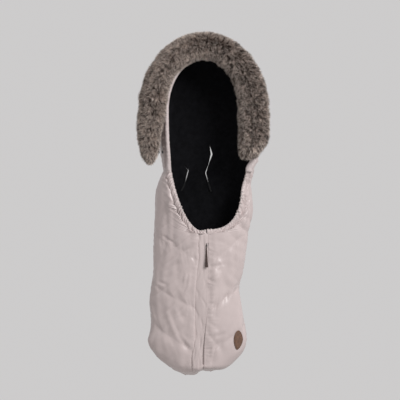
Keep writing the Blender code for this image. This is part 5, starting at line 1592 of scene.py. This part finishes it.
def fur_rings(shrink):
    """Rings of the fur's body: its section carried down the left leg, round the dome and down the right.

    At each place the section is drawn towards its middle by the size there. The left leg swings out, and
    the right leg's end is cut on a slant.
    """
    section = closed_curve(FUR_SECTION, FUR_AROUND) * HOOD_WIDTH / 2
    middle = section.mean(axis=0)
    section = middle + (section - middle) * shrink
    dome = HOOD_HEIGHT * DOME_RUN
    length = FUR_END[-1] + dome + FUR_END[1]
    s = np.linspace(0.0, length, FUR_STATIONS)[:, None]
    angle = math.pi * (1 - np.clip((s - FUR_END[-1]) / dome, 0.0, 1.0))
    left, right = np.clip(FUR_END[-1] - s, 0.0, None), np.clip(s - FUR_END[-1] - dome, 0.0, None)
    size = 1 + 0.05 * waves(s / 0.05, 1.0, 501, 6)[:, None]
    for sign, drop in ((-1, left), (1, right)):
        up = np.clip(1 - drop / FUR_END[sign], 0.0, 1.0)
        size = size * np.where(drop > 0, read_curve(np.linspace(0.0, 1.0, 6), FUR_TAPER[sign], up), 1.0)
    to_end = np.clip(np.minimum(s, length - s) / 0.014, 0.0, 1.0)
    size = size * np.sqrt(np.clip(1 - (1 - to_end) ** 2, 0.09, 1.0))
    radius = blend(middle[0], section[:, 0], size)
    slant = FUR_SLANT * right / FUR_END[1] * (radius - middle[0])
    covering = smooth((s / length - 0.30) / 0.12)
    inner = np.clip((middle[0] - radius) / (0.22 * HOOD_WIDTH / 2), 0.0, 1.0)
    swing = FUR_SWING * smooth(left / FUR_END[-1]) + 0.006 * bell(left, 0.055, 0.045) * (left > 0)
    radius = radius - FUR_INWARD * covering * inner + swing
    x = HOOD_MIDDLE_X + radius * np.cos(angle)
    y = SEAM_Y - blend(middle[1], section[:, 1], size)
    return join(x, y, Z_DOME + arch_height(radius) * np.sin(angle) - left - right + slant)


def read_grid(grid, row, column):
    """Points between a grid's own, blended from the four around each. Its columns are joined in a ring."""
    r = np.clip(np.floor(row).astype(int), 0, grid.shape[0] - 2)
    c = np.floor(column).astype(int)
    down, across = (row - r)[..., None], (column - c)[..., None]
    c0, c1 = c % grid.shape[1], (c + 1) % grid.shape[1]
    top, low = (blend(grid[row_at, c0], grid[row_at, c1], across) for row_at in (r, r + 1))
    return blend(top, low, down)


def make_fur():
    """Fur: tufts of tapering hairs that lean together, on a core inside the trim's body."""
    core = fur_rings(CORE_SHARE)
    body = loft("fur_core", core, FUR_BASE, sharp=0)
    take_place(body, "bag_and_hood", ("fur_trim",))
    wrapped = np.concatenate([core, core[:, :1]], axis=1)
    normal = normals_of(wrapped, wrapped - core.mean(axis=1, keepdims=True))[:, :-1]
    along = unit(np.gradient(core, axis=0))
    for piece in range(HAIR_PIECES):
        hair = tuft_mesh(piece, core, normal, along)
        take_place(hair, "bag_and_hood", ())


def tuft_mesh(piece, core, normal, along):
    """Each hair is a bent ribbon of three stretches: out of the skin, combed down its leg, drawn to its tuft.

    A tuft has one root place, one lean and one shade. Its hairs scatter round them and end near its tip.
    """
    comb_down, droop, tip_comb, towards_hood = 0.30, (0.0, 0.0, -0.08), (0.0, 0.0, -0.16), 0.75
    tuft_scatter, hair_scatter, turn_scatter, root_rows, root_columns = 0.42, 0.20, 0.45, 0.7, 0.8
    rng = np.random.default_rng(900 + piece)
    tufts = HAIRS_PER_PIECE // TUFT_STRANDS
    rows = FUR_STATIONS - 1
    row = rng.uniform(0.0, rows, tufts)
    place = blend(-0.3, 7.4, rng.uniform(0.0, 1.0, tufts))
    column = place / len(FUR_SECTION) * FUR_AROUND
    skin = read_grid(core, row, column)
    out = unit(read_grid(normal, row, column))
    way = unit(read_grid(along, row, column))
    down = np.clip((row[:, None] / rows - 0.5) / 0.12, -1.0, 1.0) * way
    lean = out + down * comb_down + rng.normal(size=(tufts, 3)) * tuft_scatter + np.array(droop)
    inward = np.array((HOOD_MIDDLE_X, 0.0, Z_DOME)) - skin * (1.0, 0.0, 1.0)
    inward[:, 2] = np.minimum(inward[:, 2], 0.0)
    inner = bell(place, 0.0, 1.3) * (row > rows * 0.30)
    lean += unit(inward) * inner[:, None] * towards_hood
    ends = np.minimum(row, rows - row)[:, None] / rows
    lean = unit(lean + down * 0.9 * bell(ends, 0.0, 0.02))
    tip = skin + lean * HAIR_LENGTH
    shade = rng.uniform(0.0, 1.0, tufts) - 0.13 * smooth((row / rows - 0.40) / 0.30)

    shape = (tufts, TUFT_STRANDS)
    r = np.clip(row[:, None] + rng.normal(size=shape) * root_rows, 0.0, rows)
    c = column[:, None] + rng.normal(size=shape) * root_columns
    root = read_grid(core, r, c)
    length = HAIR_LENGTH * rng.uniform(0.72, 1.12, shape)[..., None]
    stray = unit(lean[:, None] + rng.normal(size=(*shape, 3)) * hair_scatter)
    to_tuft = (tip[:, None] - stray * length - root) * 0.45
    comb = (down[:, None] * comb_down + np.array(tip_comb)) * length * 0.30
    spine = [root + (stray * length + to_tuft) * t + comb * t * t for t in HAIR_PLACES]
    flat = unit(np.cross(stray, unit(out[:, None] + rng.normal(size=(*shape, 3)) * turn_scatter)))
    half = flat * HAIR_HALF_WIDTH * rng.uniform(0.7, 1.3, shape)[..., None]
    edges = [middle + side * half * width for middle, width in zip(spine, HAIR_WIDTHS) for side in (-1, 1)]
    points = np.stack([*edges, spine[-1]], axis=2)
    first = np.arange(tufts * TUFT_STRANDS)[:, None] * points.shape[2]
    quads = np.concatenate([first + (0, 1, 3, 2), first + (2, 3, 5, 4)])
    tint = np.clip(shade[:, None] + rng.normal(size=shape) * 0.06, 0.0, 1.0)
    uv = join(tint[..., None], np.repeat(HAIR_PLACES, 2)[:-1])
    return build(f"fur_hair_{piece + 1}", points, [quads, first + (4, 5, 6)], FUR, uv, sharp=0)


def make_trim_strip():
    """The strip between the fur and the hood: a narrow band of the hood's surface, a little over it."""
    _, z, *_ = hood_stations()
    drop = np.clip(Z_DOME - z, 0.0, None)
    left = np.arange(len(z)) < len(z) / 2
    swing = np.where(left, FUR_SWING * smooth(drop / FUR_END[-1]), 0.0)[:, None]
    middle = blend(math.pi / 2, rim_angles(RIM_ANGLE, CASING_ROOM), 0.78)
    angle = middle + np.radians(np.linspace(7, -5, 12))[None]
    used = drop < np.where(left, 0.118, 0.104)
    wave = waves(hood_points(angle, 0.0), 0.03, 601) * 0.0004
    near = hood_points(angle, -0.0042, swing)
    far = hood_points(angle, -0.0054, swing) + join(0.0, wave, 0.0)
    strip = slab("trim_backing_strip", far[used], near[used], SUEDE)
    take_place(strip, "bag_and_hood", ("trim_strip",))


# Straps, closures, grip patch and label
BAR_RADIUS = 0.029
STRAP_X = 0.050
STRAP_WIDTH = 0.025
STRAP_THICK = 0.0016
CLOSURE_THICK = 0.0018


def strap_loop(loop):
    """A strap from the side, as Y and Z: up behind, round the bar at the loop's radius, down on itself."""
    stack = STRAP_THICK + CLOSURE_THICK + 0.0006
    before = join(-loop, np.linspace(-0.095, -0.002, 40))
    turn = np.radians(np.linspace(180.0, -118.0, 90))
    ring = join(loop * np.cos(turn), loop * np.sin(turn))
    after = join(-loop + stack, np.linspace(-0.042, -0.092, 30))
    across = blend(ring[-1], after[0], np.linspace(0, 1, 12)[1:-1, None])
    path = np.concatenate([before, ring, across, after])
    for _ in range(6):
        path[1:-1] = path[1:-1] * 0.5 + (path[:-2] + path[2:]) * 0.25
    return path


def make_straps():
    """Head straps: webbing round the bar that closes on itself over a hook-and-loop patch."""
    loop = BAR_RADIUS + STRAP_THICK
    path = strap_loop(loop)
    wide, high = squared_ring(turns(16)[:, None], 0.25, 0.5)
    for sign, side in SIDES.items():
        x = HOOD_MIDDLE_X + sign * STRAP_X
        line = join(x, *path.T)
        out = np.cross((1.0, 0.0, 0.0), directions(line))
        rings = line[:, None] + wide * (STRAP_WIDTH / 2, 0.0, 0.0) + out[:, None] * high * STRAP_THICK / 2
        strap = loft(f"{side}_strap", rings, WEBBING)
        take_place(strap, "bag_and_hood", (f"{side}_head_strap",))
        low, high_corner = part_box(f"{side}_strap_closure")
        middle = join(x, (low.y + high_corner.y) / 2, np.linspace(high_corner.z, low.z, 30))
        width, thick = high_corner.x - low.x, high_corner.y - low.y
        patch = band(f"{side}_closure", middle, FRONTWARDS, width, thick, GRIP)
        take_place(patch, "bag_and_hood", (f"{side}_strap_closure",))
        for number, edge in enumerate((-1, 1), start=1):
            seam = join(x + edge * 0.0105, -loop - 0.0009, np.linspace(-0.058, -0.092, 20))
            row = stitches(f"{side}_strap_stitching_{number}", seam, FRONTWARDS, 0.003, 0.0003, BLACK_THREAD)
            take_place(row, "bag_and_hood")


def make_grip_patch():
    """The non-slip patch: a thin sheet, swollen inside its edge, cut for the crotch slot and sewn round."""
    low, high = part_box("grip_patch")
    thick, swollen, uneven, inset = 0.0016, 0.0016, 0.0002, 0.004
    u = np.linspace(-1.0, 1.0, 40)[None]
    v = np.linspace(-1.0, 1.0, 64)[:, None]
    middle_x, middle_z = (low.x + high.x) / 2, (low.z + high.z) / 2
    half_x, half_z = (high.x - low.x) / 2, (high.z - low.z) / 2
    x, z = np.broadcast_arrays(middle_x + u * half_x, middle_z + v * half_z)
    edge = np.minimum(half_x * (1 - np.abs(u)), half_z * (1 - np.abs(v)))
    swell = swollen * smooth(edge / 0.004) + waves(join(x, z), 0.03, 701) * uneven
    patch = slab("grip_pad", join(x, low.y + thick + swell, z), join(x, low.y, z), GRIP)
    cutter = slot_cutter("crotch")
    slot_x = SLOTS["crotch"][0][0]
    for vertex in cutter.data.vertices:
        vertex.co.x += (vertex.co.x - slot_x) * 0.35
    cut((patch,), (cutter,))
    take_place(patch, "bag_and_hood", ("grip_patch",))
    corners = np.array(((-1, -1), (1, -1), (1, 1), (-1, 1), (-1, -1)))
    right, up = corners.T
    line = join(middle_x + right * (half_x - inset), high.y + 0.0009, middle_z + up * (half_z - inset))
    run = lengths_along(line)
    path = read_path(line, run, np.linspace(0, run[-1], 300))
    take_place(stitches("grip_stitching", path, (0, 1, 0), 0.0034, 0.00035, BLACK_THREAD), "bag_and_hood")


def make_label():
    """The leather label: an oval drawn to a point below, laid on the cloth, thinner at its edge, sewn round.

    Rings round its middle go up the lower face and back over the upper one. A groove takes the stitches.
    """
    centre, girth = label_girth()
    edge_rise, groove_depth, groove_at, over_cloth, under_cloth = 0.0009, 0.0003, 0.86, 0.0002, 0.0018
    turn = turns(72)[None]
    rho = np.linspace(0.02, 1.0, 16)[:, None]
    point = np.clip(-np.sin(turn), 0.0, 1.0)
    across = rho * np.cos(turn) * (1 - 0.22 * point**2) * (1 + 0.09 * bell(np.sin(turn / 2), 0.0, 0.2))
    angle = centre + across * LABEL_HALF_WIDTH / girth
    z = LABEL_Z + rho * (np.sin(turn) - 0.05 * point**6) * LABEL_HALF_HEIGHT
    edge = np.sqrt(np.clip(1 - rho**10, 0.0, 1.0)) * edge_rise
    groove = groove_depth * bell(rho, groove_at, 0.03)
    top = front_points(angle, z, groove - edge - over_cloth)
    low = front_points(angle, z, under_cloth)
    label = loft("label", np.concatenate([low[:-1], top[::-1]], axis=0), LABEL_LEATHER, sharp=40)
    take_place(label, "bag_and_hood", ("leather_label",))
    path = front_points(angle[-3], z[-3], -0.0011)
    take_place(stitches("label_stitching", path, FRONTWARDS, 0.0032, 0.0003, DARK_THREAD), "bag_and_hood")


# Frame nodes that keep their shape


def dress_frame():
    """Nylon for the zip's teeth and dark metal for the other nodes that nothing stands for."""
    for name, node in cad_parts.items():
        if not node.hide_render:
            node.data.materials.clear()
            node.data.materials.append(TEETH if name.endswith("zip_teeth") else METAL)


# Stage, light and camera


def make_stage():
    """A round pale floor under the object, and a pale surrounding that the camera sees."""
    turn = turns(96)[None]
    rho = np.array((0.0001, 0.6, FLOOR_RADIUS, FLOOR_RADIUS))[:, None]
    z = FLOOR_Z - np.array((0.0, 0.0, 0.0, 0.02))[:, None]
    rings = join(rho * np.cos(turn), rho * np.sin(turn) - 0.05, z)
    finish = Shader("floor", (0.62, 0.615, 0.61), 0.9)
    speck = finish.noise(finish.place(), 3.0, 2.0)
    finish.set(Base_Color=finish.ramp(speck, (0.3, (0.60, 0.595, 0.59)), (0.7, (0.64, 0.635, 0.63))))
    floor = loft("floor", rings, finish.material, sharp=30)
    world = bpy.data.worlds.new("surrounding")
    bpy.context.scene.world = world
    world.use_nodes = True
    world.node_tree.nodes.clear()
    made = Nodes(world.node_tree)
    seen = made.node("ShaderNodeBackground", values={"Color": (WALL, WALL * 0.985, WALL * 0.985, 1.0)})
    light = made.node("ShaderNodeBackground", values={"Color": (1.0, 0.985, 0.975, 1.0), "Strength": AMBIENT})
    seen_by = made.node("ShaderNodeLightPath", output="Is Camera Ray")
    for ray in ("Is Glossy Ray", "Is Transmission Ray"):
        other = made.node("ShaderNodeLightPath", output=ray)
        seen_by = made.node("ShaderNodeMath", {"operation": "MAXIMUM"}, {0: seen_by, 1: other})
    pick = made.node("ShaderNodeMixShader", values={0: seen_by, 1: light, 2: seen})
    made.node("ShaderNodeOutputWorld", values={"Surface": pick})


def make_lights():
    """Large soft lamps: the key from the right and above, a weaker fill from the left, one behind."""
    target = Vector(VIEW_MIDDLE)
    for name, place, size, power in LAMPS:
        lamp = bpy.data.lights.new(name, "AREA")
        lamp.shape = "DISK"
        lamp.size = size
        lamp.energy = power
        obj = bpy.data.objects.new(name, lamp)
        bpy.context.scene.collection.objects.link(obj)
        obj.location = place
        obj.rotation_euler = (target - Vector(place)).to_track_quat("-Z", "Y").to_euler()


def make_camera():
    """Straight at the front, from far enough to keep the outline true."""
    camera = bpy.data.cameras.new("camera")
    camera.sensor_width = 36.0
    camera.lens = camera.sensor_width * CAMERA_DISTANCE / VIEW_WIDTH
    obj = bpy.data.objects.new("camera", camera)
    bpy.context.scene.collection.objects.link(obj)
    x, y, z = VIEW_MIDDLE
    obj.location = (x, y - CAMERA_DISTANCE, z)
    obj.rotation_euler = (math.pi / 2, 0.0, 0.0)
    bpy.context.scene.camera = obj
    bpy.context.scene.view_settings.view_transform = "Standard"


make_camera()
make_lights()
make_stage()
for SIGN in SIDES:
    make_front(SIGN)
    make_casing(SIGN)
make_placket()
make_tapes()
make_pull()
make_hood()
make_back()
make_fur()
make_trim_strip()
make_straps()
make_grip_patch()
make_label()
dress_frame()
